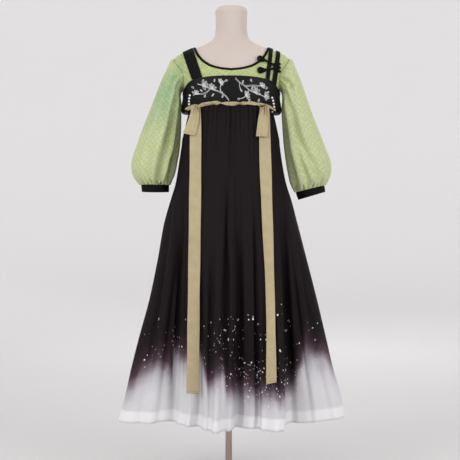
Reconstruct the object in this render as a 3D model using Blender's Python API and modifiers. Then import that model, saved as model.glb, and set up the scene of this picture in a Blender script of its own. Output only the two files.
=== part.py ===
# A strapped chest dress worn over a puff-sleeved blouse, on a limbless dress form.
# Metres, +Z up. The front faces -Y. The origin is the middle of the stand's underside.
import math

import bmesh
import bpy
import numpy as np
from mathutils import Vector

GAP = 0.0003  # between pieces that meet at a seam
SEAM_ANGLE = 0.3  # degrees that each panel stops short of the side seam
FORM_SHIFT = 0.009  # the torso sits a little to one side of its pole

BLOUSE_WALL = 0.0012
DRESS_WALL = 0.0015
RIBBON_WALL = 0.0012
LAYER_EASE = 0.0013  # air between one layer of cloth and the next

POLE_RADIUS = 0.011
FOOT_RADIUS = 0.17
FOOT_EDGE = 0.008
FOOT_RISE = 0.022

FORM_SEGMENTS = 28

# The dress form's outline at each height: half of its width, and its depth to the front and back.
BODY = (
    # height, half_width, front, back
    (0.785, 0.146, 0.092, 0.106),
    (0.798, 0.156, 0.099, 0.114),
    (0.880, 0.163, 0.102, 0.122),
    (0.960, 0.156, 0.100, 0.118),
    (1.040, 0.134, 0.094, 0.102),
    (1.110, 0.119, 0.090, 0.088),
    (1.180, 0.124, 0.094, 0.088),
    (1.235, 0.134, 0.102, 0.092),
    (1.260, 0.145, 0.108, 0.096),
    (1.285, 0.153, 0.112, 0.099),
    (1.320, 0.159, 0.111, 0.102),
    (1.360, 0.172, 0.102, 0.103),
    (1.390, 0.183, 0.090, 0.100),
    (1.410, 0.187, 0.081, 0.094),
    (1.425, 0.180, 0.074, 0.086),
    (1.440, 0.151, 0.067, 0.078),
    (1.455, 0.116, 0.061, 0.071),
    (1.465, 0.092, 0.058, 0.067),
    (1.474, 0.074, 0.056, 0.063),
    (1.487, 0.060, 0.054, 0.058),
    (1.510, 0.0535, 0.0525, 0.0535),
    (1.560, 0.0525, 0.0520, 0.0525),
    (1.583, 0.0515, 0.0510, 0.0515),
    (1.590, 0.0460, 0.0455, 0.0460),
)

# How far the blouse's inner side stands off the form.
BLOUSE_EASE = (
    # height, ease
    (1.020, 0.014),
    (1.110, 0.026),
    (1.180, 0.017),
    (1.235, 0.0024),
    (1.285, 0.0022),
    (1.350, 0.0022),
    (1.420, 0.0024),
    (1.460, 0.0013),
)
BLOUSE_HEM = 1.03
BLOUSE_LOWER_ROWS = (BLOUSE_HEM, 1.11, 1.18, 1.235, 1.26, 1.285)
UNDERARM = 1.312
ARMHOLE_TIP = 0.76  # where the armhole ends, as a share of the way from underarm to neck
ARMHOLE_REACH = 24.0  # degrees that the armhole cuts into the front and the back
ARMHOLE_ROWS = 9
ARMHOLE_SEAM = 0.0018  # the sleeve turns down here, so its wall needs more room than a flat seam
SHOULDER_ROWS = 3
BLOUSE_COLUMNS = 16

# The neckline on the front and on the back, from the middle out to the shoulder seam.
NECKLINE = (
    # out_from_middle, front_height, back_height
    (0.000, 1.3695, 1.4600),
    (0.042, 1.3755, 1.4595),
    (0.073, 1.3875, 1.4585),
    (0.098, 1.4080, 1.4565),
    (0.113, 1.4300, 1.4550),
    (0.122, 1.4525, 1.4525),
)
BINDING_RADIUS = 0.0023

# Sleeve sections, from the armhole down: the outer and inner edge seen from the front,
# how far the section reaches to the front and back, and how deep its gathers are.
LEFT_SLEEVE = (
    # outer_x, outer_z, inner_x, inner_z, half_depth, gather
    (-0.212, 1.392, -0.1690, 1.296, 0.060, 0.0),
    (-0.230, 1.352, -0.1695, 1.276, 0.063, 0.0),
    (-0.254, 1.290, -0.1698, 1.240, 0.064, 0.0),
    (-0.288, 1.205, -0.1705, 1.178, 0.064, 0.0),
    (-0.316, 1.130, -0.1745, 1.118, 0.066, 0.001),
    (-0.332, 1.078, -0.1815, 1.074, 0.067, 0.002),
    (-0.331, 1.042, -0.1880, 1.040, 0.064, 0.004),
    (-0.321, 1.018, -0.1970, 1.016, 0.056, 0.005),
    (-0.302, 1.0007, -0.2065, 1.0002, 0.045, 0.004),
)
RIGHT_SLEEVE = (
    # outer_x, outer_z, inner_x, inner_z, half_depth, gather
    (0.212, 1.394, 0.1690, 1.296, 0.060, 0.0),
    (0.232, 1.345, 0.1697, 1.276, 0.063, 0.0),
    (0.253, 1.284, 0.1710, 1.232, 0.064, 0.0),
    (0.283, 1.200, 0.1755, 1.150, 0.064, 0.0),
    (0.311, 1.125, 0.1815, 1.090, 0.066, 0.001),
    (0.329, 1.078, 0.1880, 1.046, 0.067, 0.002),
    (0.331, 1.045, 0.1950, 1.010, 0.064, 0.004),
    (0.325, 1.020, 0.2030, 0.990, 0.056, 0.005),
    (0.3108, 0.9994, 0.2132, 0.9758, 0.045, 0.004),
)
SLEEVE_SEGMENTS = 36
SLEEVE_STEPS = 10
SLEEVE_GATHERS = 12
# Each cuff: the outer and inner end of its top edge, and of its bottom edge.
CUFFS = {
    "left": ((-0.3005, 1.000), (-0.2080, 0.9995), (-0.2985, 0.977), (-0.2085, 0.9765)),
    "right": ((0.3095, 0.9985), (0.2145, 0.9755), (0.3130, 0.9770), (0.2230, 0.9505)),
}
CUFF_HALF_DEPTH = 0.042
CUFF_WALL = 0.002
CUFF_SEGMENTS = 28

# Where the chest band begins and ends, round the body. 0 degrees is the middle of the front,
# negative angles are towards -X, and 180 is the middle of the back.
BAND_EDGES = (
    # angle, bottom, top
    (-180, 1.236, 1.296),
    (-130, 1.236, 1.298),
    (-90, 1.239, 1.303),
    (-72, 1.243, 1.316),
    (-52, 1.255, 1.337),
    (-34, 1.2595, 1.344),
    (0, 1.2590, 1.347),
    (34, 1.2590, 1.343),
    (52, 1.255, 1.336),
    (72, 1.239, 1.314),
    (90, 1.236, 1.303),
    (130, 1.236, 1.298),
    (180, 1.236, 1.296),
)
# The band stands off the body at its sides and is drawn in to the skirt along its bottom.
BAND_FLARE = (
    # share_of_height, share_of_flare
    (0.00, 0.00),
    (0.10, 0.80),
    (0.24, 1.00),
    (0.50, 0.52),
    (0.72, 0.15),
    (1.00, 0.00),
)
SIDE_FLARE = 0.021
FRONT_COLUMNS = 26
BACK_COLUMNS = 18

# The skirt's rings below its top seam.
SKIRT = (
    # height, half_width, front, back, middle_x
    (1.150, 0.1590, 0.134, 0.122, 0.0000),
    (1.070, 0.1700, 0.144, 0.138, 0.0000),
    (1.000, 0.1830, 0.150, 0.152, 0.0010),
    (0.950, 0.1990, 0.154, 0.162, 0.0010),
    (0.883, 0.2190, 0.159, 0.174, -0.0015),
    (0.750, 0.2490, 0.166, 0.196, 0.0030),
    (0.617, 0.2800, 0.170, 0.214, 0.0060),
    (0.483, 0.3140, 0.173, 0.226, 0.0035),
    (0.383, 0.3380, 0.174, 0.233, 0.0025),
    (0.283, 0.3630, 0.174, 0.238, 0.0050),
    (0.218, 0.3765, 0.174, 0.240, -0.0010),
)
HEM = 0.218
SKIRT_FRONT_COLUMNS = 60
SKIRT_BACK_COLUMNS = 36
SKIRT_ROWS = 12
SKIRT_WALL = 0.0015

# The skirt's ridges and troughs. out is how far one stands off the ring at the top and the hem,
# start is the height where it begins to grow, and follow is 0 where it hangs straight down
# and 1 where it spreads with the skirt.
FRONT_FOLDS = (
    # hem_x, follow, start, out_top, out_hem
    (-0.376, 1.00, 0.90, 0.000, 0.000),
    (-0.300, 0.90, 0.95, 0.000, -0.040),
    (-0.214, 0.45, 1.02, 0.000, -0.085),
    (-0.180, 0.25, 1.00, 0.000, -0.066),
    (-0.141, 0.15, 0.95, 0.000, -0.038),
    (-0.117, 0.10, 0.95, 0.000, -0.060),
    (-0.080, 0.10, 0.95, 0.000, 0.002),
    (-0.050, 0.10, 1.00, 0.001, 0.042),
    (-0.010, 0.10, 1.10, 0.001, 0.014),
    (0.015, 0.10, 1.20, -0.004, -0.072),
    (0.040, 0.10, 1.10, 0.001, -0.040),
    (0.070, 0.10, 1.00, 0.001, -0.022),
    (0.084, 0.10, 0.95, 0.000, -0.026),
    (0.094, 0.10, 0.95, 0.000, 0.006),
    (0.145, 0.10, 1.00, 0.001, 0.036),
    (0.158, 0.15, 1.00, 0.000, 0.028),
    (0.178, 0.25, 1.02, 0.000, -0.052),
    (0.220, 0.45, 1.02, 0.000, -0.085),
    (0.300, 0.90, 0.95, 0.000, -0.040),
    (0.376, 1.00, 0.90, 0.000, 0.000),
)
BACK_FOLDS = (
    # hem_x, follow, start, out_top, out_hem
    (-0.376, 1.00, 0.90, 0.000, 0.000),
    (-0.330, 0.90, 0.95, 0.000, 0.012),
    (-0.270, 0.70, 1.00, 0.000, -0.035),
    (-0.205, 0.50, 0.95, 0.000, 0.020),
    (-0.150, 0.40, 1.00, 0.000, -0.040),
    (-0.085, 0.20, 0.95, 0.000, 0.022),
    (-0.020, 0.10, 1.05, -0.002, -0.042),
    (0.055, 0.20, 0.95, 0.000, 0.024),
    (0.110, 0.30, 1.00, 0.000, -0.034),
    (0.180, 0.50, 0.95, 0.000, 0.018),
    (0.245, 0.70, 1.00, 0.000, -0.040),
    (0.320, 0.90, 0.95, 0.000, 0.010),
    (0.376, 1.00, 0.90, 0.000, 0.000),
)

# Straps over the shoulders: their middle at the front end, the shoulder and the back end.
STRAPS = (
    # name, front_x, shoulder_x, back_x, half_width
    ("strap_right_wide", -0.1097, -0.1435, -0.1000, 0.0152),
    ("strap_left_inner", 0.1145, 0.1295, 0.0920, 0.0063),
    ("strap_left_outer", 0.1355, 0.1530, 0.1150, 0.0063),
)
STRAP_STATIONS = 9

# Frog closures from the petal near the neck to the knot on the outer strap, and how wide each is.
FROGS = (
    # x, z_upper, z_lower, half_width
    (0.0880, 1.4060, 1.3685, 0.0055),
    (0.0920, 1.4058, 1.3685, 0.0082),
    (0.0990, 1.4045, 1.3687, 0.0086),
    (0.1060, 1.4015, 1.3695, 0.0060),
    (0.1130, 1.3975, 1.3710, 0.0027),
    (0.1210, 1.3935, 1.3730, 0.0024),
    (0.1310, 1.3895, 1.3750, 0.0024),
)
KNOT_START = 0.1318
KNOT_LENGTH = 0.0240
KNOT_HALF_HEIGHT = 0.0068
FROG_WALL = 0.0024
FROG_LIFT = 0.0066  # the frogs lie on the straps

BAND_RIBBON = {"start": -66, "end": 62, "half_height": 0.0068, "lift": 0.0034}
BAND_RIBBON_PUCKERS = 17
BAND_RIBBON_STATIONS = 46

# The ribbons at each height: their left and right edges.
LONG_RIBBONS = {
    "ribbon_right_long": (
        # height, left_x, right_x
        (1.2500, -0.1330, -0.0985),
        (1.1450, -0.1335, -0.0970),
        (0.9500, -0.1350, -0.0970),
        (0.6200, -0.1390, -0.1010),
        (0.3320, -0.1430, -0.1025),
    ),
    "ribbon_left_long": (
        # height, left_x, right_x
        (1.2480, 0.0900, 0.1230),
        (1.1450, 0.0885, 0.1255),
        (0.9500, 0.0940, 0.1300),
        (0.6200, 0.1090, 0.1370),
        (0.3700, 0.1090, 0.1415),
    ),
}
TAIL_RIBBONS = {
    "ribbon_right_tail": (
        # height, left_x, right_x
        (1.2500, -0.1325, -0.0995),
        (1.2150, -0.1370, -0.1030),
        (1.1570, -0.1550, -0.1160),
    ),
    "ribbon_left_tail": (
        # height, left_x, right_x
        (1.2480, 0.0895, 0.1225),
        (1.2150, 0.0860, 0.1210),
        (1.1500, 0.0780, 0.1150),
    ),
}
RIBBON_CLEARANCE = 0.0030
RIBBON_STATIONS = 13
TAIL_STATIONS = 8

COLOURS = {
    # linear colour, roughness, metallic
    "form_cover": ((0.66, 0.57, 0.51, 1.0), 0.75, 0.0),
    "pole_metal": ((0.42, 0.36, 0.33, 1.0), 0.3, 0.9),
    "foot_paint": ((0.55, 0.52, 0.50, 1.0), 0.45, 0.3),
    "green_jacquard": ((0.52, 0.60, 0.25, 1.0), 0.7, 0.0),
    "black_satin": ((0.010, 0.010, 0.011, 1.0), 0.5, 0.0),
    "black_trim": ((0.014, 0.014, 0.015, 1.0), 0.6, 0.0),
    "beige_ribbon": ((0.50, 0.43, 0.25, 1.0), 0.6, 0.0),
    "chiffon": ((0.020, 0.016, 0.017, 1.0), 0.8, 0.0),
}


def smooth_table(at, table, column):
    """A smooth curve through one column of a table whose first column rises."""
    xs = [row[0] for row in table]
    ys = [row[column] for row in table]
    if at <= xs[0]:
        return ys[0]
    if at >= xs[-1]:
        return ys[-1]
    slopes = np.gradient(ys, xs)
    i = int(np.searchsorted(xs, at)) - 1
    width = xs[i + 1] - xs[i]
    t = (at - xs[i]) / width
    blend = t * t * (3 - 2 * t)
    curve = t * (1 - t) * width * ((1 - t) * slopes[i] - t * slopes[i + 1])
    return ys[i] + (ys[i + 1] - ys[i]) * blend + curve


def ease_in(t):
    t = min(max(t, 0.0), 1.0)
    return t * t * (3 - 2 * t)


def body_ring(angle, height):
    """A point on the dress form. angle is in degrees from the middle of the front."""
    turn = math.radians(angle)
    depth = smooth_table(height, BODY, 2 if math.cos(turn) >= 0 else 3)
    width = smooth_table(height, BODY, 1)
    return Vector((width * math.sin(turn), -depth * math.cos(turn), height))


def on_body(angle, height, out):
    """The point that lies out above the dress form's surface."""
    step_angle, step_height = 1.0, 0.002
    round_it = body_ring(angle + step_angle, height) - body_ring(angle - step_angle, height)
    up_it = body_ring(angle, height + step_height) - body_ring(angle, height - step_height)
    return body_ring(angle, height) + round_it.cross(up_it).normalized() * out


def blouse_out(height):
    """From the form to the blouse's outer side."""
    return smooth_table(height, BLOUSE_EASE, 1) + BLOUSE_WALL


def dress_out(height):
    """From the form to the outer side of what lies on the blouse."""
    return blouse_out(height) + LAYER_EASE + DRESS_WALL


def height_on_shoulder(x):
    """Where the form is just wide enough to reach x, on the slope of the shoulder."""
    low, high = 1.412, 1.50
    for _ in range(40):
        middle = (low + high) / 2
        if smooth_table(middle, BODY, 1) > abs(x):
            low = middle
        else:
            high = middle
    return low


def collection(name):
    made = bpy.data.collections.new(name)
    bpy.context.scene.collection.children.link(made)
    return made


def material(name):
    colour, roughness, metallic = COLOURS[name]
    made = bpy.data.materials.new(name)
    made.use_nodes = True
    shader = made.node_tree.nodes["Principled BSDF"]
    shader.inputs["Base Color"].default_value = colour
    shader.inputs["Roughness"].default_value = roughness
    shader.inputs["Metallic"].default_value = metallic
    return made


class Scene:
    """The collection, the empty that carries the garment, and the materials."""

    def __init__(self):
        self.parts = collection("skirt_set_on_form")
        self.carrier = bpy.data.objects.new("carrier", None)
        self.carrier.location.x = FORM_SHIFT
        self.parts.objects.link(self.carrier)
        self.materials = {name: material(name) for name in COLOURS}

    def add(self, name, mesh, material_name, carried=True):
        made = bpy.data.objects.new(name, mesh)
        made.data.materials.append(self.materials[material_name])
        self.parts.objects.link(made)
        if carried:
            made.parent = self.carrier
        return made


def grid_mesh(name, rows, closed=False):
    """A surface through rows of points. Rows run left to right seen from outside, bottom first."""
    shape = bmesh.new()
    points = [[shape.verts.new(point) for point in row] for row in rows]
    count = len(points[0])
    for lower, upper in zip(points, points[1:]):
        for i in range(count if closed else count - 1):
            j = (i + 1) % count
            shape.faces.new((lower[i], lower[j], upper[j], upper[i]))
    mesh = bpy.data.meshes.new(name)
    shape.to_mesh(mesh)
    shape.free()
    mesh.shade_smooth()
    return mesh


def cloth(scene, name, rows, wall, material_name, closed=False):
    """A wall of cloth whose outer side runs through the rows."""
    made = scene.add(name, grid_mesh(name, rows, closed), material_name)
    thicken = made.modifiers.new("wall", "SOLIDIFY")
    thicken.thickness = wall
    thicken.offset = -1
    return made


def solid_from_rings(scene, name, rings, material_name):
    """A closed body through rings, with flat ends."""
    mesh = grid_mesh(name, rings, closed=True)
    shape = bmesh.new()
    shape.from_mesh(mesh)
    bmesh.ops.holes_fill(shape, edges=[edge for edge in shape.edges if edge.is_boundary])
    bmesh.ops.recalc_face_normals(shape, faces=shape.faces)
    shape.to_mesh(mesh)
    shape.free()
    return scene.add(name, mesh, material_name)


def build_form(scene):
    low = BODY[0][0]
    heights = [row[0] for row in BODY]
    turns = np.linspace(-180, 180, FORM_SEGMENTS, endpoint=False)
    rings = [[body_ring(turn, height) for turn in turns] for height in heights]
    solid_from_rings(scene, "form_torso", rings, "form_cover")

    length = low - GAP - (FOOT_RISE + GAP)
    bpy.ops.mesh.primitive_cylinder_add(
        vertices=24, radius=POLE_RADIUS, depth=length, location=(0, 0, FOOT_RISE + GAP + length / 2)
    )
    adopt(scene, "form_pole", "pole_metal")
    build_foot(scene)


def adopt(scene, name, material_name):
    """Takes the object that an operator just made into the part's collection."""
    made = bpy.context.object
    made.name = name
    made.data.materials.append(scene.materials[material_name])
    for owner in list(made.users_collection):
        owner.objects.unlink(made)
    scene.parts.objects.link(made)
    made.data.shade_smooth()
    return made


def build_foot(scene):
    """A turned plate, flat below, with a low rise round the pole."""
    profile = (
        # radius, height
        (0.0, FOOT_RISE),
        (0.026, FOOT_RISE),
        (0.034, FOOT_EDGE + 0.006),
        (0.060, FOOT_EDGE + 0.002),
        (FOOT_RADIUS - 0.004, FOOT_EDGE),
        (FOOT_RADIUS, FOOT_EDGE - 0.004),
        (FOOT_RADIUS, 0.0),
        (0.0, 0.0),
    )
    mesh = bpy.data.meshes.new("form_foot")
    edges = [(i, i + 1) for i in range(len(profile) - 1)]
    mesh.from_pydata([(radius, 0, height) for radius, height in profile], edges, [])
    made = scene.add("form_foot", mesh, "foot_paint", carried=False)
    turned = made.modifiers.new("turned", "SCREW")
    turned.steps = turned.render_steps = 48
    turned.use_merge_vertices = True
    turned.merge_threshold = 0.0001


def neck_height(x, back):
    return smooth_table(abs(x), NECKLINE, 2 if back else 1)


def neckline_at(share, back):
    """The height where the blouse's column at this share of the way to the shoulder meets the neckline."""
    low, high = 1.34, 1.475
    for _ in range(40):
        middle = (low + high) / 2
        x = smooth_table(middle, BODY, 1) * math.sin(math.radians(90 * share))
        if middle < neck_height(x, back):
            low = middle
        else:
            high = middle
    return low


def armhole_angle(rise):
    """The angle of the blouse's side edge, rise being 0 at the underarm and 1 at the neck."""
    edge = 90 - SEAM_ANGLE
    if 0 < rise < ARMHOLE_TIP:
        edge -= ARMHOLE_REACH * math.sin(math.pi * rise / ARMHOLE_TIP) ** 0.8
    return edge


def rises():
    """The blouse's rows above the underarm, as shares of the way to the neck."""
    below = np.linspace(0, ARMHOLE_TIP, ARMHOLE_ROWS + 1)
    above = np.linspace(ARMHOLE_TIP, 1, SHOULDER_ROWS + 1)[1:]
    return [*below, *above]


def blouse_point(share, height, edge, back):
    """share runs from -1 at one side edge to 1 at the other. edge is that edge's angle."""
    angle = share * edge + (180 if back else 0)
    return on_body(angle, height, blouse_out(height))


def blouse_rows(back):
    shares = np.linspace(-1, 1, BLOUSE_COLUMNS + 1)
    tops = [neckline_at(abs(share), back) for share in shares]
    rows = []
    for height in BLOUSE_LOWER_ROWS:
        rows.append([blouse_point(share, height, 90 - SEAM_ANGLE, back) for share in shares])
    for rise in rises():
        edge = armhole_angle(rise)
        rows.append(
            [
                blouse_point(share, UNDERARM + rise * (top - UNDERARM), edge, back)
                for share, top in zip(shares, tops)
            ]
        )
    return rows


def armhole_loop(front_rows, back_rows, side):
    """The armhole's points from the shoulder tip down the front and up the back. side is -1 or 1."""
    first = len(BLOUSE_LOWER_ROWS)
    last = first + ARMHOLE_ROWS
    front = [row[0 if side < 0 else -1] for row in front_rows[first : last + 1]]
    back = [row[-1 if side < 0 else 0] for row in back_rows[first : last + 1]]
    tip = (front[-1] + back[-1]) / 2
    underarm = (front[0] + back[0]) / 2
    return [tip, *reversed(front[1:-1]), underarm, *back[1:-1]]


def resampled(loop, count):
    """count points on the straight runs between the loop's points."""
    points = []
    for i in range(count):
        at = i * len(loop) / count
        first = int(at)
        points.append(loop[first].lerp(loop[(first + 1) % len(loop)], at - first))
    return points


def sleeve_ring(table, along):
    """One section of the sleeve. along is 0 at the first row of its table and 1 at the last."""
    at = along * (len(table) - 1)
    numbered = [(i, *row) for i, row in enumerate(table)]
    outer_x, outer_z, inner_x, inner_z, half_depth, gather = (
        smooth_table(at, numbered, column) for column in range(1, 7)
    )
    outer, inner = Vector((outer_x, 0, outer_z)), Vector((inner_x, 0, inner_z))
    middle, reach = (outer + inner) / 2, (outer - inner) / 2
    ring = []
    for i in range(SLEEVE_SEGMENTS):
        turn = 2 * math.pi * i / SLEEVE_SEGMENTS
        share = 1 - gather * (1 - math.cos(SLEEVE_GATHERS * turn)) / (2 * reach.length)
        forward = Vector((0, -half_depth * math.sin(turn), 0))
        ring.append(middle + (reach * math.cos(turn) + forward) * share)
    return ring


def build_sleeve(scene, side, table, armhole):
    start = resampled(armhole, SLEEVE_SEGMENTS)
    rings = [sleeve_ring(table, i / (SLEEVE_STEPS - 1)) for i in range(SLEEVE_STEPS)]
    start = [a + (b - a).normalized() * ARMHOLE_SEAM for a, b in zip(start, rings[0])]
    rings = list(reversed([start, *rings]))
    if side > 0:
        rings = [[ring[0], *reversed(ring[1:])] for ring in rings]
    name = "sleeve_right" if side < 0 else "sleeve_left"
    cloth(scene, name, rings, BLOUSE_WALL, "green_jacquard", closed=True)


def build_cuff(scene, side, corners):
    top_outer, top_inner, bottom_outer, bottom_inner = (Vector((x, 0, z)) for x, z in corners)
    rings = []
    for outer, inner in ((bottom_outer, bottom_inner), (top_outer, top_inner)):
        ring = []
        for i in range(CUFF_SEGMENTS):
            turn = 2 * math.pi * i / CUFF_SEGMENTS * -side
            forward = Vector((0, -CUFF_HALF_DEPTH * math.sin(turn), 0))
            ring.append((outer + inner) / 2 + (outer - inner) / 2 * math.cos(turn) + forward)
        rings.append(ring)
    name = "cuff_right" if side < 0 else "cuff_left"
    cloth(scene, name, rings, CUFF_WALL, "black_trim", closed=True)


def neck_edge(rows):
    """The binding's middle along one panel: a little past the panel's top edge and above it."""
    places = []
    for column, edge in enumerate(rows[-1]):
        before, after = rows[-1][max(column - 1, 0)], rows[-1][min(column + 1, len(rows[-1]) - 1)]
        along = (after - before).normalized()
        upward = along.cross(edge - rows[-2][column]).normalized()
        past = upward.cross(along) * (BINDING_RADIUS + 2 * GAP)
        places.append(edge + past + upward * BINDING_RADIUS * 0.6)
    return places


def build_binding(scene, front_rows, back_rows):
    """The rolled binding that runs round the neckline, just inside the blouse's edge."""
    front, back = neck_edge(front_rows), neck_edge(back_rows)
    right_corner, left_corner = (front[0] + back[-1]) / 2, (front[-1] + back[0]) / 2
    loop = [right_corner, *front[1:-1], left_corner, *back[1:-1]]
    curve = bpy.data.curves.new("neck_binding", "CURVE")
    curve.dimensions = "3D"
    curve.bevel_depth = BINDING_RADIUS
    curve.bevel_resolution = 1
    spline = curve.splines.new("POLY")
    spline.points.add(len(loop) - 1)
    for point, place in zip(spline.points, loop):
        point.co = (*place, 1)
    spline.use_cyclic_u = True
    scene.add("neck_binding", curve, "black_trim")


def build_blouse(scene):
    front_rows, back_rows = blouse_rows(back=False), blouse_rows(back=True)
    cloth(scene, "blouse_front", front_rows, BLOUSE_WALL, "green_jacquard")
    cloth(scene, "blouse_back", back_rows, BLOUSE_WALL, "green_jacquard")
    build_binding(scene, front_rows, back_rows)
    for side, table, cuff in ((-1, LEFT_SLEEVE, "left"), (1, RIGHT_SLEEVE, "right")):
        build_sleeve(scene, side, table, armhole_loop(front_rows, back_rows, side))
        build_cuff(scene, side, CUFFS[cuff])


def band_edge(angle, column):
    return smooth_table(angle, BAND_EDGES, column)


def wrapped(angle):
    return (angle + 180) % 360 - 180 if abs(angle) > 180 else angle


def skirt_top(angle):
    """The seam between chest band and skirt."""
    height = band_edge(wrapped(angle), 1)
    return on_body(angle, height, dress_out(height))


def band_point(angle, share):
    """A point on the chest band's outer side. share is 0 on its bottom edge and 1 on its top."""
    bottom, top = band_edge(wrapped(angle), 1), band_edge(wrapped(angle), 2)
    if share == 0:
        return skirt_top(angle) + Vector((0, 0, 2 * GAP))
    height = bottom + share * (top - bottom)
    out = dress_out(height) + side_flare(angle) * smooth_table(share, BAND_FLARE, 1)
    return on_body(angle, height, out)


def side_flare(angle):
    return SIDE_FLARE * math.sin(math.radians(angle)) ** 8


def panel_angles(columns, back, crowd=0.0):
    """Angles across a front or back panel. crowd draws the columns towards its middle."""
    edge = 90 - SEAM_ANGLE
    shares = np.linspace(-1, 1, columns + 1)
    angles = edge * ((1 - crowd) * shares + crowd * shares**3)
    return [angle + (180 if back else 0) for angle in angles]


def build_band(scene):
    for name, columns, back in (
        ("chest_band_front", FRONT_COLUMNS, False),
        ("chest_band_back", BACK_COLUMNS, True),
    ):
        angles = panel_angles(columns, back)
        rows = [[band_point(angle, row[0]) for angle in angles] for row in BAND_FLARE]
        cloth(scene, name, rows, DRESS_WALL, "black_satin")


def fold_out(folds, x, height, half_width):
    """How far the skirt's folds push it out at x."""
    places, outs = [], []
    for hem_x, follow, start, out_top, out_hem in folds:
        grown = ease_in((start - height) / (start - HEM))
        places.append(hem_x * (1 + follow * (half_width / SKIRT[-1][1] - 1)))
        outs.append(out_top + (out_hem - out_top) * grown)
    if x <= places[0] or x >= places[-1]:
        return 0.0
    i = int(np.searchsorted(places, x)) - 1
    t = ease_in((x - places[i]) / (places[i + 1] - places[i]))
    return outs[i] + (outs[i + 1] - outs[i]) * t


def skirt_ring(angle, height):
    """A point on the skirt's outer side at one of the heights of its table or between them."""
    table = SKIRT[::-1]
    turn = math.radians(angle)
    back = math.cos(turn) < 0
    half_width = smooth_table(height, table, 1)
    depth = smooth_table(height, table, 3 if back else 2)
    out_way = Vector((math.sin(turn) / half_width, -math.cos(turn) / depth, 0)).normalized()
    x = half_width * math.sin(turn)
    folds = BACK_FOLDS if back else FRONT_FOLDS
    place = Vector((x + smooth_table(height, table, 4), -depth * math.cos(turn), height))
    return place + out_way * fold_out(folds, x, height, half_width)


def skirt_point(angle, share):
    """share is 0 at the seam under the chest band and 1 at the hem."""
    top = skirt_top(angle)
    first = SKIRT[0][0]
    height = top.z + share * (HEM - top.z)
    if height >= first:
        upper = skirt_ring(angle, first)
        return top.lerp(upper, (top.z - height) / (top.z - first))
    return skirt_ring(angle, height)


def skirt_shares():
    """Rows that are closer together near the top."""
    return [t * (0.75 + 0.25 * t) for t in np.linspace(0, 1, SKIRT_ROWS + 1)]


def build_skirt(scene):
    for name, columns, back in (
        ("skirt_front", SKIRT_FRONT_COLUMNS, False),
        ("skirt_back", SKIRT_BACK_COLUMNS, True),
    ):
        angles = panel_angles(columns, back, crowd=0.35)
        rows = [[skirt_point(angle, share) for angle in angles] for share in skirt_shares()]
        cloth(scene, name, rows[::-1], SKIRT_WALL, "chiffon")


def build_straps(scene):
    """Each strap runs from the chest band's top at the front, over the shoulder, to its top behind."""
    for name, front_x, shoulder_x, back_x, half_width in STRAPS:
        edges = []
        for offset in (-half_width, 0.0, half_width):
            ridge = height_on_shoulder(shoulder_x + offset)
            front = strap_edge(front_x + offset, shoulder_x + offset, ridge, back=False)
            back = strap_edge(back_x + offset, shoulder_x + offset, ridge, back=True)
            edges.append(front + back[::-1][1:])
        rows = [list(row) for row in zip(*edges)]
        cloth(scene, name, rows, DRESS_WALL, "black_trim")


def strap_edge(end_x, shoulder_x, ridge, back):
    """Points along one edge, from the chest band's top up to the shoulder's ridge."""
    points = []
    for i in range(STRAP_STATIONS + 1):
        t = 1 - (1 - i / STRAP_STATIONS) ** 1.7
        low = strap_foot(end_x, back)
        height = low + (ridge - low) * t
        x = end_x + (shoulder_x - end_x) * t
        points.append(on_body_at(x, height, dress_out(height) + 2 * GAP, back))
    return points


def strap_foot(x, back):
    """Just above the chest band's top edge at x."""
    height = 1.30
    for _ in range(12):
        angle = math.degrees(math.asin(x / smooth_table(height, BODY, 1)))
        height = band_edge(180 - abs(angle) if back else angle, 2) + 3 * GAP
    return height


def on_body_at(x, height, out, back):
    """The point above the form's front or back whose place across it is x."""
    share = max(-1.0, min(1.0, x / smooth_table(height, BODY, 1)))
    angle = math.degrees(math.asin(share))
    return on_body(180 - angle if back else angle, height, out)


def build_frogs(scene):
    """Two closures from a petal beside the neckline, across the inner strap, to a knot on the outer."""
    for name, column in (("upper", 1), ("lower", 2)):
        rows = []
        for side in (-1, 0, 1):
            rows.append(
                [
                    on_body_at(row[0], row[column] + side * row[3], frog_out(row[column]), False)
                    for row in FROGS
                ]
            )
        cloth(scene, f"frog_{name}_loop", rows, FROG_WALL, "black_trim")
        build_knot(scene, f"frog_{name}_knot", FROGS[-1][column])


def frog_out(height):
    return blouse_out(height) + FROG_LIFT


def build_knot(scene, name, height):
    """A ball knot with its short ears, pressed flat on the strap."""
    x = KNOT_START + KNOT_LENGTH / 2
    place = on_body_at(x, height, frog_out(height) - FROG_WALL / 2, False)
    ahead = on_body_at(x + 0.01, height, frog_out(height) - FROG_WALL / 2, False)
    above = on_body_at(x, height + 0.01, frog_out(height) - FROG_WALL / 2, False)
    along, up = (ahead - place).normalized(), (above - place).normalized()
    out = along.cross(up).normalized()
    shape = bmesh.new()
    bmesh.ops.create_uvsphere(shape, u_segments=12, v_segments=7, radius=1)
    for vert in shape.verts:
        across, depth, rise = vert.co
        vert.co = (
            place
            + along * across * KNOT_LENGTH / 2
            + up * rise * KNOT_HALF_HEIGHT
            - out * depth * FROG_WALL * 0.62
        )
    mesh = bpy.data.meshes.new(name)
    shape.to_mesh(mesh)
    shape.free()
    mesh.shade_smooth()
    scene.add(name, mesh, "black_trim")


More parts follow.
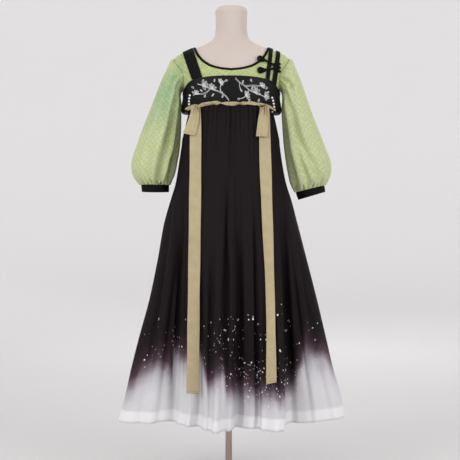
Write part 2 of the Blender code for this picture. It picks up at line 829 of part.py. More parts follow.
def build_band_ribbon(scene):
    """The twisted ribbon over the seam between chest band and skirt."""
    first, last = BAND_RIBBON["start"], BAND_RIBBON["end"]
    rows = []
    for side in (-1.0, -0.4, 0.4, 1.0):
        row = []
        for i in range(BAND_RIBBON_STATIONS + 1):
            along = i / BAND_RIBBON_STATIONS
            angle = first + along * (last - first)
            place = skirt_top(angle)
            away = Vector((place.x, place.y, 0)).normalized()
            pucker = 0.5 + 0.5 * math.sin(BAND_RIBBON_PUCKERS * math.tau * along + side)
            rise = BAND_RIBBON["half_height"] * side * (0.93 + 0.07 * pucker)
            out = BAND_RIBBON["lift"] + side_flare(angle)
            out += (1 - side * side) * (0.0012 + 0.0018 * pucker)
            row.append(place + away * out + Vector((0, 0, rise)))
        rows.append(row)
    cloth(scene, "underbust_ribbon", rows, RIBBON_WALL, "beige_ribbon")


def skirt_depth(x, height):
    """How far forward the skirt's front comes at x."""
    table = SKIRT[::-1]
    if height >= SKIRT[0][0]:
        half_width = smooth_table(height, BODY, 1) + dress_out(height) + 0.012
    else:
        half_width = smooth_table(height, table, 1)
    angle = math.degrees(math.asin(max(-1.0, min(1.0, x / half_width))))
    top = skirt_top(angle)
    return -skirt_point(angle, (top.z - height) / (top.z - HEM)).y


def hanging_depths(table):
    """How far forward a long ribbon hangs at each height: it rests on whatever pushes out above."""
    heights, depths, depth = [], [], 0.0
    for i in range(RIBBON_STATIONS + 1):
        height = table[0][0] + (table[-1][0] - table[0][0]) * (i / RIBBON_STATIONS) ** 1.6
        left, right = (smooth_table(height, table[::-1], column) for column in (1, 2))
        depth = max(depth, *(skirt_depth(x, height) for x in np.linspace(left, right, 5)))
        heights.append(height)
        depths.append(depth)
    return heights, depths


def ribbon_rows(table, heights, hang, lift):
    """Rows of a ribbon that lies lift in front of where the long ribbon's depths put it."""
    rows = []
    for height in reversed(heights):
        left, right = (smooth_table(height, table[::-1], column) for column in (1, 2))
        clear = RIBBON_CLEARANCE + max(skirt_depth(x, height) for x in (left, right))
        depth = max(clear, np.interp(height, hang[0][::-1], hang[1][::-1]) + lift)
        rows.append([Vector((x, -depth, height)) for x in (left, (left + right) / 2, right)])
    return rows


def build_ribbons(scene):
    for name, table in LONG_RIBBONS.items():
        hang = hanging_depths(table)
        rows = ribbon_rows(table, hang[0], hang, RIBBON_CLEARANCE)
        cloth(scene, name, rows, RIBBON_WALL, "beige_ribbon")
        tail = name.replace("long", "tail")
        over = TAIL_RIBBONS[tail]
        heights = np.linspace(over[0][0], over[-1][0], TAIL_STATIONS + 1)
        rows = ribbon_rows(over, heights, hang, RIBBON_CLEARANCE + RIBBON_WALL + 2 * GAP)
        cloth(scene, tail, rows, RIBBON_WALL, "beige_ribbon")


def main():
    for old in list(bpy.data.objects):
        bpy.data.objects.remove(old)
    scene = Scene()
    build_form(scene)
    build_blouse(scene)
    build_band(scene)
    build_skirt(scene)
    build_straps(scene)
    build_frogs(scene)
    build_band_ribbon(scene)
    build_ribbons(scene)
    bpy.context.view_layer.update()


main()
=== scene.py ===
# A strapped chest dress over a puff-sleeved blouse, on a limbless dress form.
# Metres, +Z up, and the front faces -Y.
import math
import random

import bpy
import numpy as np
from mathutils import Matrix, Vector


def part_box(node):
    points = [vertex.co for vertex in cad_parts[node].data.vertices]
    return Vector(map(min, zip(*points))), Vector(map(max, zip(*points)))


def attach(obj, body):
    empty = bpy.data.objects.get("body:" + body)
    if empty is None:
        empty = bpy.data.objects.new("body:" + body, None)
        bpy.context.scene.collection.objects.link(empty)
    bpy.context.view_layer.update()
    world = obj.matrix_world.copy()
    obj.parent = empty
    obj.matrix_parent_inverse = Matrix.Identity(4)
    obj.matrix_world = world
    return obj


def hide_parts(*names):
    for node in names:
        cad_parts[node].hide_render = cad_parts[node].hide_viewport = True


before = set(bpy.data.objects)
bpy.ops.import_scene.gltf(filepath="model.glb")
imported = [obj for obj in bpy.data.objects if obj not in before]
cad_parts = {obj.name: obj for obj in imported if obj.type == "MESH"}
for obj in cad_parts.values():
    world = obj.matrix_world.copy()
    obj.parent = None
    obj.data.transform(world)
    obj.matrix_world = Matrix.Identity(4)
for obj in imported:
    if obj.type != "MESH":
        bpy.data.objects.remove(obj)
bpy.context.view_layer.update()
print("frame loaded:", len(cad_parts), "solids")

camera = {"distance": 3.2, "height": 0.877, "across": 0.0043, "lens": 75.1, "shiftUp": -0.0176}

bpy.ops.object.select_all(action="DESELECT")
bpy.ops.object.camera_add(
    location=(camera["across"], -camera["distance"], camera["height"]), rotation=(math.pi / 2, 0, 0)
)
bpy.context.object.data.lens = camera["lens"]
bpy.context.object.data.shift_y = camera["shiftUp"]
bpy.context.scene.camera = bpy.context.object
bpy.context.scene.view_settings.view_transform = "Standard"


# Colour and node helpers

def hexColour(code):
    parts = [int(code[i : i + 2], 16) / 255 for i in (1, 3, 5)]
    return (*[c / 12.92 if c <= 0.04045 else ((c + 0.055) / 1.055) ** 2.4 for c in parts], 1.0)


def addNode(tree, kind, settings={}, inputs={}, out=0):
    node = tree.nodes.new("ShaderNode" + kind)
    for key, value in settings.items():
        if key == "stops":  # (place, hex) pairs of a colour ramp
            while len(node.color_ramp.elements) < len(value):
                node.color_ramp.elements.new(0.5)
            for element, (place, code) in zip(node.color_ramp.elements, value):
                element.position = place
                element.color = hexColour(code)
        else:
            setattr(node, key, value)
    for key, value in inputs.items():
        if isinstance(value, bpy.types.NodeSocket):
            tree.links.new(value, node.inputs[key])
        else:
            node.inputs[key].default_value = value
    return node if out is None else node.outputs[out]


def colourBetween(tree, shader, amount, low, high):
    mixed = addNode(
        tree, "Mix", {"data_type": "RGBA"}, {0: amount, 6: hexColour(low), 7: hexColour(high)}, 2
    )
    tree.links.new(mixed, shader["Base Color"])


def reliefFrom(tree, shader, height, strength, depth):
    relief = addNode(tree, "Bump", {}, {"Strength": strength, "Distance": depth, "Height": height})
    tree.links.new(relief, shader["Normal"])


def newMaterial(name, values):
    made = bpy.data.materials.new(name)
    made.use_nodes = True
    shader = made.node_tree.nodes["Principled BSDF"]
    for key, value in values.items():
        shader.inputs[key].default_value = value
    return made, made.node_tree, shader.inputs


# Smooth curves and the dress form that all the cloth is laid on

gap = 0.0003
formShift = 0.009  # the torso sits a little to one side of its pole
blouseWall = 0.0012
dressWall = 0.0015
layerEase = 0.0013

bodyTable = (
    # height, half width, front, back
    (0.785, 0.146, 0.092, 0.106),
    (0.798, 0.156, 0.099, 0.114),
    (0.880, 0.163, 0.102, 0.122),
    (0.960, 0.156, 0.100, 0.118),
    (1.040, 0.134, 0.094, 0.102),
    (1.110, 0.119, 0.090, 0.088),
    (1.180, 0.124, 0.094, 0.088),
    (1.235, 0.134, 0.102, 0.092),
    (1.260, 0.145, 0.108, 0.096),
    (1.285, 0.153, 0.112, 0.099),
    (1.320, 0.159, 0.111, 0.102),
    (1.360, 0.172, 0.102, 0.103),
    (1.390, 0.183, 0.090, 0.100),
    (1.410, 0.187, 0.081, 0.094),
    (1.425, 0.180, 0.074, 0.086),
    (1.440, 0.151, 0.067, 0.078),
    (1.455, 0.116, 0.061, 0.071),
    (1.465, 0.092, 0.058, 0.067),
    (1.474, 0.074, 0.056, 0.063),
    (1.487, 0.060, 0.054, 0.058),
    (1.510, 0.0535, 0.0525, 0.0535),
    (1.560, 0.0525, 0.0520, 0.0525),
    (1.583, 0.0515, 0.0510, 0.0515),
    (1.590, 0.0460, 0.0455, 0.0460),
)
blouseEase = (
    # height, how far the blouse stands off the form
    (1.020, 0.014), (1.110, 0.026), (1.180, 0.017), (1.235, 0.0024),
    (1.285, 0.0022), (1.350, 0.0022), (1.420, 0.0024), (1.460, 0.0013),
)


def curveThrough(table, column):
    xs = np.array([row[0] for row in table], float)
    ys = np.array([row[column] for row in table], float)
    slopes = np.gradient(ys, xs)

    def at(x):
        x = np.clip(x, xs[0], xs[-1])
        i = np.clip(np.searchsorted(xs, x) - 1, 0, len(xs) - 2)
        width = xs[i + 1] - xs[i]
        t = (x - xs[i]) / width
        bend = t * (1 - t) * width * ((1 - t) * slopes[i] - t * slopes[i + 1])
        return ys[i] + (ys[i + 1] - ys[i]) * t * t * (3 - 2 * t) + bend

    return at


def easeIn(t):
    t = np.clip(t, 0.0, 1.0)
    return t * t * (3 - 2 * t)


def bump(at, middle, width):
    return np.exp(-(((at - middle) / width) ** 2))


def unit(vectors):
    return vectors / np.maximum(np.linalg.norm(vectors, axis=-1, keepdims=True), 1e-12)


bodyWidth, bodyFront, bodyBack = (curveThrough(bodyTable, column) for column in (1, 2, 3))
blouseEaseAt = curveThrough(blouseEase, 1)


def bodyRing(angle, height):
    angle, height = np.broadcast_arrays(np.asarray(angle, float), np.asarray(height, float))
    turn = np.radians(angle)
    depth = np.where(np.cos(turn) >= 0, bodyFront(height), bodyBack(height))
    return np.stack([bodyWidth(height) * np.sin(turn), -depth * np.cos(turn), height], axis=-1)


def onBody(angle, height, out):
    roundIt = bodyRing(angle + 1.0, height) - bodyRing(angle - 1.0, height)
    upIt = bodyRing(angle, height + 0.002) - bodyRing(angle, height - 0.002)
    out = np.asarray(out, float)[..., None]
    return bodyRing(angle, height) + unit(np.cross(roundIt, upIt)) * out


def blouseOut(height):
    return blouseEaseAt(height) + blouseWall


def dressOut(height):
    return blouseOut(height) + layerEase + dressWall


def angleAt(x, height, back=False):
    angle = np.degrees(np.arcsin(np.clip(x / bodyWidth(height), -1, 1)))
    return 180 - angle if back else angle


# Making a piece of cloth from rows of points

def normalsOf(points):
    along = np.gradient(points, axis=1)
    upward = np.gradient(points, axis=0)
    return unit(np.cross(along, upward))


def creased(points, creases, closed=False):
    # Each crease: start and end as shares across and up, width in metres, depth in metres.
    rows, columns = points.shape[:2]
    across, up = np.meshgrid(np.linspace(0, 1, columns), np.linspace(0, 1, rows))
    wide = np.linalg.norm(np.diff(points, axis=1), axis=2).sum(axis=1).mean()
    tall = np.linalg.norm(np.diff(points, axis=0), axis=2).sum(axis=0).mean()
    push = np.zeros((rows, columns))
    for startAcross, startUp, endAcross, endUp, width, depth in creases:
        alongX, alongY = (endAcross - startAcross) * wide, (endUp - startUp) * tall
        length = math.hypot(alongX, alongY)
        for turn in (-1, 0, 1) if closed else (0,):
            x, y = (across - startAcross + turn) * wide, (up - startUp) * tall
            share = (x * alongX + y * alongY) / length**2
            away = np.abs(x * alongY - y * alongX) / length
            fade = easeIn(share * 4 + 0.5) * easeIn((1 - share) * 4 + 0.5)
            push += depth * fade * (0.42 * bump(away, 1.9 * width, 1.1 * width) - bump(away, 0, width))
    return points + normalsOf(points) * push[..., None]


def clothGrid(name, points, wall, closed=False, carried=True):
    # A grid primitive whose vertices are moved onto the cloth. Its UV map is then in metres.
    rows, columns = points.shape[:2]
    bpy.ops.object.select_all(action="DESELECT")
    bpy.ops.mesh.primitive_grid_add(x_subdivisions=columns - 1, y_subdivisions=rows - 1, size=1)
    piece = bpy.context.object
    piece.name = piece.data.name = name
    placed = points + np.array([formShift if carried else 0.0, 0, 0])
    piece.data.vertices.foreach_set("co", placed.astype(np.float32).ravel())
    steps = np.linalg.norm(np.diff(points, axis=1), axis=2)
    u = np.concatenate([np.zeros((rows, 1)), np.cumsum(steps, axis=1)], axis=1)
    u -= u[:, [columns // 2]]
    climbs = np.linalg.norm(np.diff(points, axis=0), axis=2)
    v = np.concatenate([np.zeros((1, columns)), np.cumsum(climbs, axis=0)], axis=0)
    corner = np.empty(len(piece.data.loops), np.int32)
    piece.data.loops.foreach_get("vertex_index", corner)
    flat = np.stack([u.ravel()[corner], v.ravel()[corner]], axis=1)
    piece.data.uv_layers[0].data.foreach_set("uv", flat.astype(np.float32).ravel())
    piece.data.update()
    if closed:
        bpy.ops.object.mode_set(mode="EDIT")
        bpy.ops.mesh.select_all(action="SELECT")
        bpy.ops.mesh.remove_doubles(threshold=0.00002)
        bpy.ops.object.mode_set(mode="OBJECT")
    if wall:
        thicken(piece, wall)
    bpy.ops.object.shade_smooth()
    return piece


def thicken(piece, wall):
    bpy.context.view_layer.objects.active = piece
    made = piece.modifiers.new("wall", "SOLIDIFY")
    made.thickness = wall
    made.offset = -1
    made.use_even_offset = True
    bpy.ops.object.modifier_apply(modifier=made.name)


def finish(piece, material, replaces=()):
    piece.data.materials.clear()
    piece.data.materials.append(material)
    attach(piece, "root")
    if replaces:
        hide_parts(*replaces)
    return piece


def cordAlong(name, paths, radius, sides=2, smooth=True):
    # Round threads or cords through lists of points, made a mesh.
    curve = bpy.data.curves.new(name, "CURVE")
    curve.dimensions = "3D"
    curve.bevel_depth = radius
    curve.bevel_resolution = sides
    curve.use_fill_caps = True
    for path in paths:
        spline = curve.splines.new("NURBS" if smooth else "POLY")
        spline.points.add(len(path) - 1)
        for point, place in zip(spline.points, path):
            point.co = (place[0] + formShift, place[1], place[2], 1)
        if smooth:
            spline.order_u = 3
            spline.use_endpoint_u = True
            spline.resolution_u = 3
    piece = bpy.data.objects.new(name, curve)
    bpy.context.scene.collection.objects.link(piece)
    bpy.ops.object.select_all(action="DESELECT")
    piece.select_set(True)
    bpy.context.view_layer.objects.active = piece
    bpy.ops.object.convert(target="MESH")
    bpy.ops.object.shade_smooth()
    return bpy.context.object


# Materials

def jacquardMaterial():
    # Rayon jacquard: a lattice of raised pale floats at 45 degrees, with short floats that lie one way and
    # then the other between its lines, over a matt ground.
    look = {
        "ground": "#a1ab76", "groundPale": "#b1b98a", "float": "#d6dcbd",
        # the last colour here is painted shade: a darker green laid on towards the body
        "tint": "#86a277", "tintFloat": "#bacdb0", "deep": "#97a55e",
        "tintPlace": (-0.210, -0.03, 1.285), "tintLean": -0.38, "tintShape": (1.3, 1.0, 0.58),
        # metres, the line's half width as a share, short floats in a cell
        "cell": 0.0135, "line": 0.10, "floats": 3.0,
        "weave": 0.0009,  # coarser than thread, which would be too fine to show
    }
    made, tree, shader = newMaterial(
        "rayon jacquard",
        {"Roughness": 0.66, "Sheen Weight": 0.06, "Sheen Roughness": 0.4, "Specular IOR Level": 0.25}
    )
    cloth = addNode(tree, "UVMap", {"uv_map": "UVMap"})
    turned = addNode(
        tree, "Mapping", {}, {0: cloth, "Rotation": (0, 0, math.pi / 4), "Scale": (1 / look["cell"],) * 3}
    )
    cells = addNode(tree, "SeparateXYZ", {}, {0: turned}, None)
    block = addNode(
        tree, "TexChecker", {},
        {"Vector": turned, "Scale": 1.0, "Color1": (1, 1, 1, 1), "Color2": (0, 0, 0, 1)}, 1
    )
    lattice, short = [], []
    for way in (0, 1):
        for packed, line, kept in ((1.0, look["line"], lattice), (look["floats"], 0.2, short)):
            spread = addNode(tree, "Math", {"operation": "MULTIPLY"}, {0: cells.outputs[way], 1: packed})
            saw = addNode(tree, "Math", {"operation": "PINGPONG"}, {0: spread, 1: 0.5})
            kept.append(
                addNode(
                    tree, "MapRange", {"interpolation_type": "SMOOTHSTEP"},
                    {0: saw, 1: line * 0.6, 2: line * 1.5, 3: 1.0, 4: 0.0}
                )
            )
    crossed = addNode(tree, "Math", {"operation": "MAXIMUM"}, {0: lattice[0], 1: lattice[1]})
    filling = addNode(tree, "Mix", {}, {0: block, 2: short[0], 3: short[1]})
    filling = addNode(tree, "Math", {"operation": "MULTIPLY"}, {0: filling, 1: 0.34})
    floats = addNode(tree, "Math", {"operation": "MAXIMUM"}, {0: crossed, 1: filling})
    broken = addNode(tree, "TexNoise", {}, {"Vector": cloth, "Scale": 1 / 0.02, "Detail": 3.0})
    uneven = addNode(tree, "MapRange", {}, {0: broken, 1: 0.36, 2: 0.6, 3: 0.35, 4: 1.0})
    floats = addNode(tree, "Math", {"operation": "MULTIPLY"}, {0: floats, 1: uneven})
    place = addNode(tree, "TexCoord", {}, {}, "Object")
    cloudy = addNode(tree, "TexNoise", {}, {"Vector": place, "Scale": 14.0, "Detail": 3.0})
    # the dye turns bluer down the right sleeve's upper half
    moved = addNode(tree, "VectorMath", {"operation": "SUBTRACT"}, {0: place, 1: look["tintPlace"]})
    squashed = addNode(
        tree, "Mapping", {}, {0: moved, "Rotation": (0, look["tintLean"], 0), "Scale": (1.0, 0.5, 1.0)}
    )
    squashed = addNode(tree, "VectorMath", {"operation": "MULTIPLY"}, {0: squashed, 1: look["tintShape"]})
    away = addNode(tree, "VectorMath", {"operation": "LENGTH"}, {0: squashed}, "Value")
    away = addNode(tree, "Math", {"operation": "MULTIPLY_ADD"}, {0: cloudy, 1: 0.10, 2: away})
    tinted = addNode(
        tree, "MapRange", {"interpolation_type": "SMOOTHSTEP"},
        {0: away, 1: 0.055, 2: 0.150, 3: 0.95, 4: 0.0}
    )
    ground = addNode(
        tree, "Mix", {"data_type": "RGBA"},
        {0: cloudy, 6: hexColour(look["ground"]), 7: hexColour(look["groundPale"])}, 2
    )
    # painted shade: the green is darker and deeper towards the body, standing in for the shade on the
    # sleeves' inner sides
    across = addNode(
        tree, "Math", {"operation": "ABSOLUTE"}, {0: addNode(tree, "SeparateXYZ", {}, {0: place})}
    )
    innerShadeAmount = addNode(
        tree, "MapRange", {"interpolation_type": "SMOOTHSTEP"},
        {0: across, 1: 0.150, 2: 0.225, 3: 0.65, 4: 0.0}
    )
    ground = addNode(
        tree, "Mix", {"data_type": "RGBA"}, {0: innerShadeAmount, 6: ground, 7: hexColour(look["deep"])}, 2
    )
    ground = addNode(
        tree, "Mix", {"data_type": "RGBA"}, {0: tinted, 6: ground, 7: hexColour(look["tint"])}, 2
    )
    threads = addNode(
        tree, "Mix", {"data_type": "RGBA"},
        {0: tinted, 6: hexColour(look["float"]), 7: hexColour(look["tintFloat"])}, 2
    )
    amount = addNode(tree, "Math", {"operation": "MULTIPLY"}, {0: floats, 1: 0.42})
    colour = addNode(tree, "Mix", {"data_type": "RGBA"}, {0: amount, 6: ground, 7: threads}, 2)
    tree.links.new(colour, shader["Base Color"])
    shine = addNode(tree, "MapRange", {}, {0: floats, 3: 0.7, 4: 0.52})
    tree.links.new(shine, shader["Roughness"])
    fine = addNode(tree, "TexNoise", {}, {"Vector": cloth, "Scale": 1 / look["weave"], "Detail": 1.0})
    relief = addNode(tree, "Math", {"operation": "MULTIPLY_ADD"}, {0: floats, 1: 0.6, 2: fine})
    reliefFrom(tree, shader, relief, 0.25, 0.0004)
    return made


def satinMaterial():
    # Polyester satin: near black, with a low soft shine that breaks on fine threads.
    made, tree, shader = newMaterial(
        "black polyester satin",
        {"Base Color": hexColour("#101011"), "Roughness": 0.55, "Specular IOR Level": 0.15}
    )
    cloth = addNode(tree, "UVMap", {"uv_map": "UVMap"})
    fine = addNode(
        tree, "TexNoise", {},
        {
            "Vector": addNode(tree, "Mapping", {}, {0: cloth, "Scale": (260, 1100, 1)}), "Scale": 1.0,
            "Detail": 2.0
        }
    )
    tree.links.new(addNode(tree, "MapRange", {}, {0: fine, 3: 0.42, 4: 0.62}), shader["Roughness"])
    tone = addNode(tree, "TexNoise", {}, {"Vector": cloth, "Scale": 22.0, "Detail": 3.0})
    colourBetween(tree, shader, tone, "#08080a", "#111112")
    reliefFrom(tree, shader, fine, 0.2, 0.0003)
    return made


def trimMaterial():
    # Cotton sateen: a matt black with a faint twill and a slightly uneven tone.
    made, tree, shader = newMaterial(
        "black cotton sateen",
        {"Base Color": hexColour("#0f0f0f"), "Roughness": 0.75, "Specular IOR Level": 0.1}
    )
    cloth = addNode(tree, "UVMap", {"uv_map": "UVMap"})
    rib = addNode(
        tree, "TexWave", {"bands_direction": "DIAGONAL"},
        {"Vector": cloth, "Scale": 1 / 0.0016, "Distortion": 1.5, "Detail": 1.0}
    )
    tone = addNode(tree, "TexNoise", {}, {"Vector": cloth, "Scale": 60.0, "Detail": 3.0})
    mixed = addNode(tree, "Math", {"operation": "MULTIPLY_ADD"}, {0: rib, 1: 0.25, 2: tone})
    colourBetween(tree, shader, mixed, "#060606", "#121212")
    reliefFrom(tree, shader, rib, 0.25, 0.0003)
    return made


def ribbonMaterial():
    # Plain woven polyester ribbon: crosswise ribs, a slightly uneven tone and a stitched hem.
    made, tree, shader = newMaterial(
        "beige woven ribbon",
        {"Base Color": hexColour("#b9aa79"), "Roughness": 0.65, "Specular IOR Level": 0.3}
    )
    cloth = addNode(tree, "UVMap", {"uv_map": "UVMap"})
    rib = addNode(
        tree, "TexWave", {"bands_direction": "Y"},
        {"Vector": cloth, "Scale": 1 / 0.0042, "Distortion": 0.6, "Detail": 1.0}
    )
    tone = addNode(tree, "TexNoise", {}, {"Vector": cloth, "Scale": 40.0, "Detail": 3.0})
    mixed = addNode(tree, "Math", {"operation": "MULTIPLY_ADD"}, {0: rib, 1: 0.2, 2: tone})
    colour = addNode(
        tree, "Mix", {"data_type": "RGBA"}, {0: mixed, 6: hexColour("#9b8e6e"), 7: hexColour("#b4a783")}, 2
    )
    # a stitched hem 7 mm up: 2.4 mm stitches, drawn a little bolder than the thread
    spread = addNode(tree, "SeparateXYZ", {}, {0: cloth}, None)
    along = addNode(tree, "Math", {"operation": "PINGPONG"}, {0: spread.outputs[0], 1: 0.0016})
    dash = addNode(tree, "Math", {"operation": "LESS_THAN"}, {0: along, 1: 0.0012})
    onLine = addNode(tree, "Math", {"operation": "COMPARE"}, {0: spread.outputs[1], 1: 0.007, 2: 0.0005})
    stitch = addNode(tree, "Math", {"operation": "MULTIPLY"}, {0: dash, 1: onLine})
    colour = addNode(tree, "Mix", {"data_type": "RGBA"}, {0: stitch, 6: colour, 7: hexColour("#7d7051")}, 2)
    tree.links.new(colour, shader["Base Color"])
    reliefFrom(tree, shader, rib, 0.3, 0.0003)
    return made


def chiffonMaterial():
    # Layered polyester chiffon, dip-dyed: a warm black that fades through purple grey to white at the hem,
    # with a scatter of small pale petals. The fade and the scatter are attributes of the cloth.
    look = {
        "fade": (
            (0.0, "#1d1819"), (0.16, "#221c1e"), (0.32, "#33272c"), (0.44, "#4c3e45"), (0.54, "#7d7179"),
            (0.64, "#aaa5ab"), (0.77, "#c3c2c6"), (1.0, "#cecdd0")
        ),
        "hem": "#e3e3e4", "petal": "#ece6ea", "hemDepth": 0.042,
        # petals: metres between them where they lie closest, least and most radius as shares, share of
        # places filled, strength
        "petals": (
            (0.0080, 0.14, 0.30, 0.75, 0.95), (0.0150, 0.10, 0.21, 0.85, 0.90),
            (0.0240, 0.08, 0.18, 0.80, 0.72), (0.0420, 0.07, 0.14, 0.75, 0.42)
        ),
    }
    made, tree, shader = newMaterial(
        "dip-dyed polyester chiffon", {"Roughness": 0.8, "Specular IOR Level": 0.06}
    )
    cloth = addNode(tree, "UVMap", {"uv_map": "UVMap"})
    fade = addNode(tree, "Attribute", {"attribute_name": "fade"}, {}, "Fac")
    blot = addNode(tree, "TexNoise", {}, {"Vector": cloth, "Scale": 16.0, "Detail": 4.0})
    drawn = addNode(
        tree, "TexNoise", {},
        {
            "Vector": addNode(tree, "Mapping", {}, {0: cloth, "Scale": (38, 4, 1)}), "Scale": 1.0,
            "Detail": 3.0
        }
    )
    # the dye's edge is drawn out along the threads
    both = addNode(tree, "Math", {"operation": "ADD"}, {0: blot, 1: drawn})
    wave = addNode(tree, "Math", {"operation": "SUBTRACT"}, {0: both, 1: 1.0})
    amount = addNode(tree, "MapRange", {}, {0: fade, 1: 0.0, 2: 0.3, 3: 0.0, 4: 0.22})
    fade = addNode(
        tree, "Math", {"operation": "MULTIPLY_ADD", "use_clamp": True}, {0: wave, 1: amount, 2: fade}
    )
    colour = addNode(tree, "ValToRGB", {"stops": look["fade"]}, {0: fade})
    depth = addNode(tree, "SeparateXYZ", {}, {0: cloth}, None).outputs[1]
    hem = addNode(
        tree, "MapRange", {}, {0: depth, 1: look["hemDepth"], 2: look["hemDepth"] - 0.003, 3: 0.0, 4: 0.85}
    )
    colour = addNode(tree, "Mix", {"data_type": "RGBA"}, {0: hem, 6: colour, 7: hexColour(look["hem"])}, 2)
    along = addNode(
        tree, "Math", {"operation": "PINGPONG"},
        {0: addNode(tree, "SeparateXYZ", {}, {0: cloth}), 1: 0.0018}
    )
    dash = addNode(tree, "Math", {"operation": "LESS_THAN"}, {0: along, 1: 0.0013})
    onLine = addNode(
        tree, "Math", {"operation": "COMPARE"}, {0: depth, 1: look["hemDepth"] - 0.004, 2: 0.0006}
    )
    stitch = addNode(tree, "Math", {"operation": "MULTIPLY"}, {0: dash, 1: onLine})
    stitch = addNode(tree, "Math", {"operation": "MULTIPLY"}, {0: stitch, 1: 0.5})
    colour = addNode(tree, "Mix", {"data_type": "RGBA"}, {0: stitch, 6: colour, 7: hexColour("#9f9fa3")}, 2)
    density = addNode(tree, "Attribute", {"attribute_name": "scatter"}, {}, "Fac")
    for size, least, most, share, bright in look["petals"]:
        stretched = addNode(
            tree, "Mapping", {}, {0: cloth, "Scale": (1 / size, 0.8 / size, 1), "Rotation": (0, 0, 0.5)}
        )
        cells = addNode(tree, "TexVoronoi", {}, {"Vector": stretched, "Scale": 1.0, "Randomness": 1.0}, None)
        lot = addNode(tree, "SeparateColor", {}, {0: cells.outputs["Color"]}, None)
        there = addNode(tree, "Math", {"operation": "MULTIPLY"}, {0: density, 1: share})
        shown = addNode(tree, "Math", {"operation": "LESS_THAN"}, {0: lot.outputs[0], 1: there})
        radius = addNode(tree, "MapRange", {}, {0: lot.outputs[1], 3: least, 4: most})
        inside = addNode(tree, "Math", {"operation": "LESS_THAN"}, {0: cells.outputs["Distance"], 1: radius})
        mark = addNode(tree, "Math", {"operation": "MULTIPLY"}, {0: shown, 1: inside})
        strength = addNode(tree, "MapRange", {}, {0: lot.outputs[2], 3: bright / 3, 4: bright})
        mark = addNode(tree, "Math", {"operation": "MULTIPLY"}, {0: mark, 1: strength})
        colour = addNode(
            tree, "Mix", {"data_type": "RGBA"}, {0: mark, 6: colour, 7: hexColour(look["petal"])}, 2
        )
    tree.links.new(colour, shader["Base Color"])
    # threads, drawn coarser than they would be
    fine = addNode(tree, "TexNoise", {}, {"Vector": cloth, "Scale": 1 / 0.0011, "Detail": 1.0})
    reliefFrom(tree, shader, fine, 0.12, 0.0003)
    return made


def formMaterial():
    # Cotton jersey: matt, pinkish cream, with a fine grain for its knit.
    made, tree, shader = newMaterial(
        "cream cotton jersey", {"Base Color": hexColour("#d8ccc4"), "Roughness": 0.85, "Sheen Weight": 0.25}
    )
    place = addNode(tree, "TexCoord", {}, {}, "Object")
    tone = addNode(tree, "TexNoise", {}, {"Vector": place, "Scale": 9.0, "Detail": 3.0})
    colourBetween(tree, shader, tone, "#baada5", "#c4b9b1")
    knit = addNode(tree, "TexNoise", {}, {"Vector": place, "Scale": 1 / 0.0012, "Detail": 1.0})
    reliefFrom(tree, shader, knit, 0.15, 0.0003)
    return made


def steelMaterial(name, pale, dark, roughness):
    # Satin-finished steel: fine upright lines and a warm tone.
    made, tree, shader = newMaterial(
        name, {"Base Color": hexColour(pale), "Metallic": 1.0, "Roughness": roughness}
    )
    place = addNode(tree, "TexCoord", {}, {}, "Object")
    drawn = addNode(
        tree, "TexNoise", {},
        {
            "Vector": addNode(tree, "Mapping", {}, {0: place, "Scale": (420, 420, 6)}), "Scale": 1.0,
            "Detail": 2.0
        }
    )
    colourBetween(tree, shader, drawn, dark, pale)
    tree.links.new(
        addNode(tree, "MapRange", {}, {0: drawn, 3: roughness - 0.05, 4: roughness + 0.08}),
        shader["Roughness"]
    )
    return made


def threadMaterial():
    # Rayon embroidery thread: white, with a soft shine and a fine uneven surface.
    made, tree, shader = newMaterial(
        "white rayon thread", {"Base Color": hexColour("#e9e9ea"), "Roughness": 0.42, "Sheen Weight": 0.3}
    )
    place = addNode(tree, "TexCoord", {}, {}, "Object")
    twist = addNode(tree, "TexNoise", {}, {"Vector": place, "Scale": 900.0, "Detail": 1.0})
    colourBetween(tree, shader, twist, "#b9babc", "#e2e2e3")
    reliefFrom(tree, shader, twist, 0.3, 0.0002)
    return made


def pearlMaterial():
    # Glass pearl: warm white under a clear lacquer.
    made, tree, shader = newMaterial(
        "lacquered glass pearl",
        {"Base Color": hexColour("#f1efec"), "Roughness": 0.22, "Coat Weight": 0.6, "Coat Roughness": 0.1}
    )
    place = addNode(tree, "TexCoord", {}, {}, "Object")
    cloudy = addNode(tree, "TexNoise", {}, {"Vector": place, "Scale": 160.0, "Detail": 2.0})
    colourBetween(tree, shader, cloudy, "#e3dfe0", "#faf8f5")
    return made


jacquard, satin, trim = jacquardMaterial(), satinMaterial(), trimMaterial()
ribbon, chiffon = ribbonMaterial(), chiffonMaterial()
jersey, thread, pearl = formMaterial(), threadMaterial(), pearlMaterial()
poleSteel = steelMaterial("satin steel tube", "#cdbab4", "#98867f", 0.30)
footSteel = steelMaterial("satin steel plate", "#c2bbb6", "#a69e99", 0.42)
print("materials made")


# Dress form: torso with its neck, pole and foot

form = {"columns": 96, "rows": 120, "poleRadius": 0.011, "footRadius": 0.17}


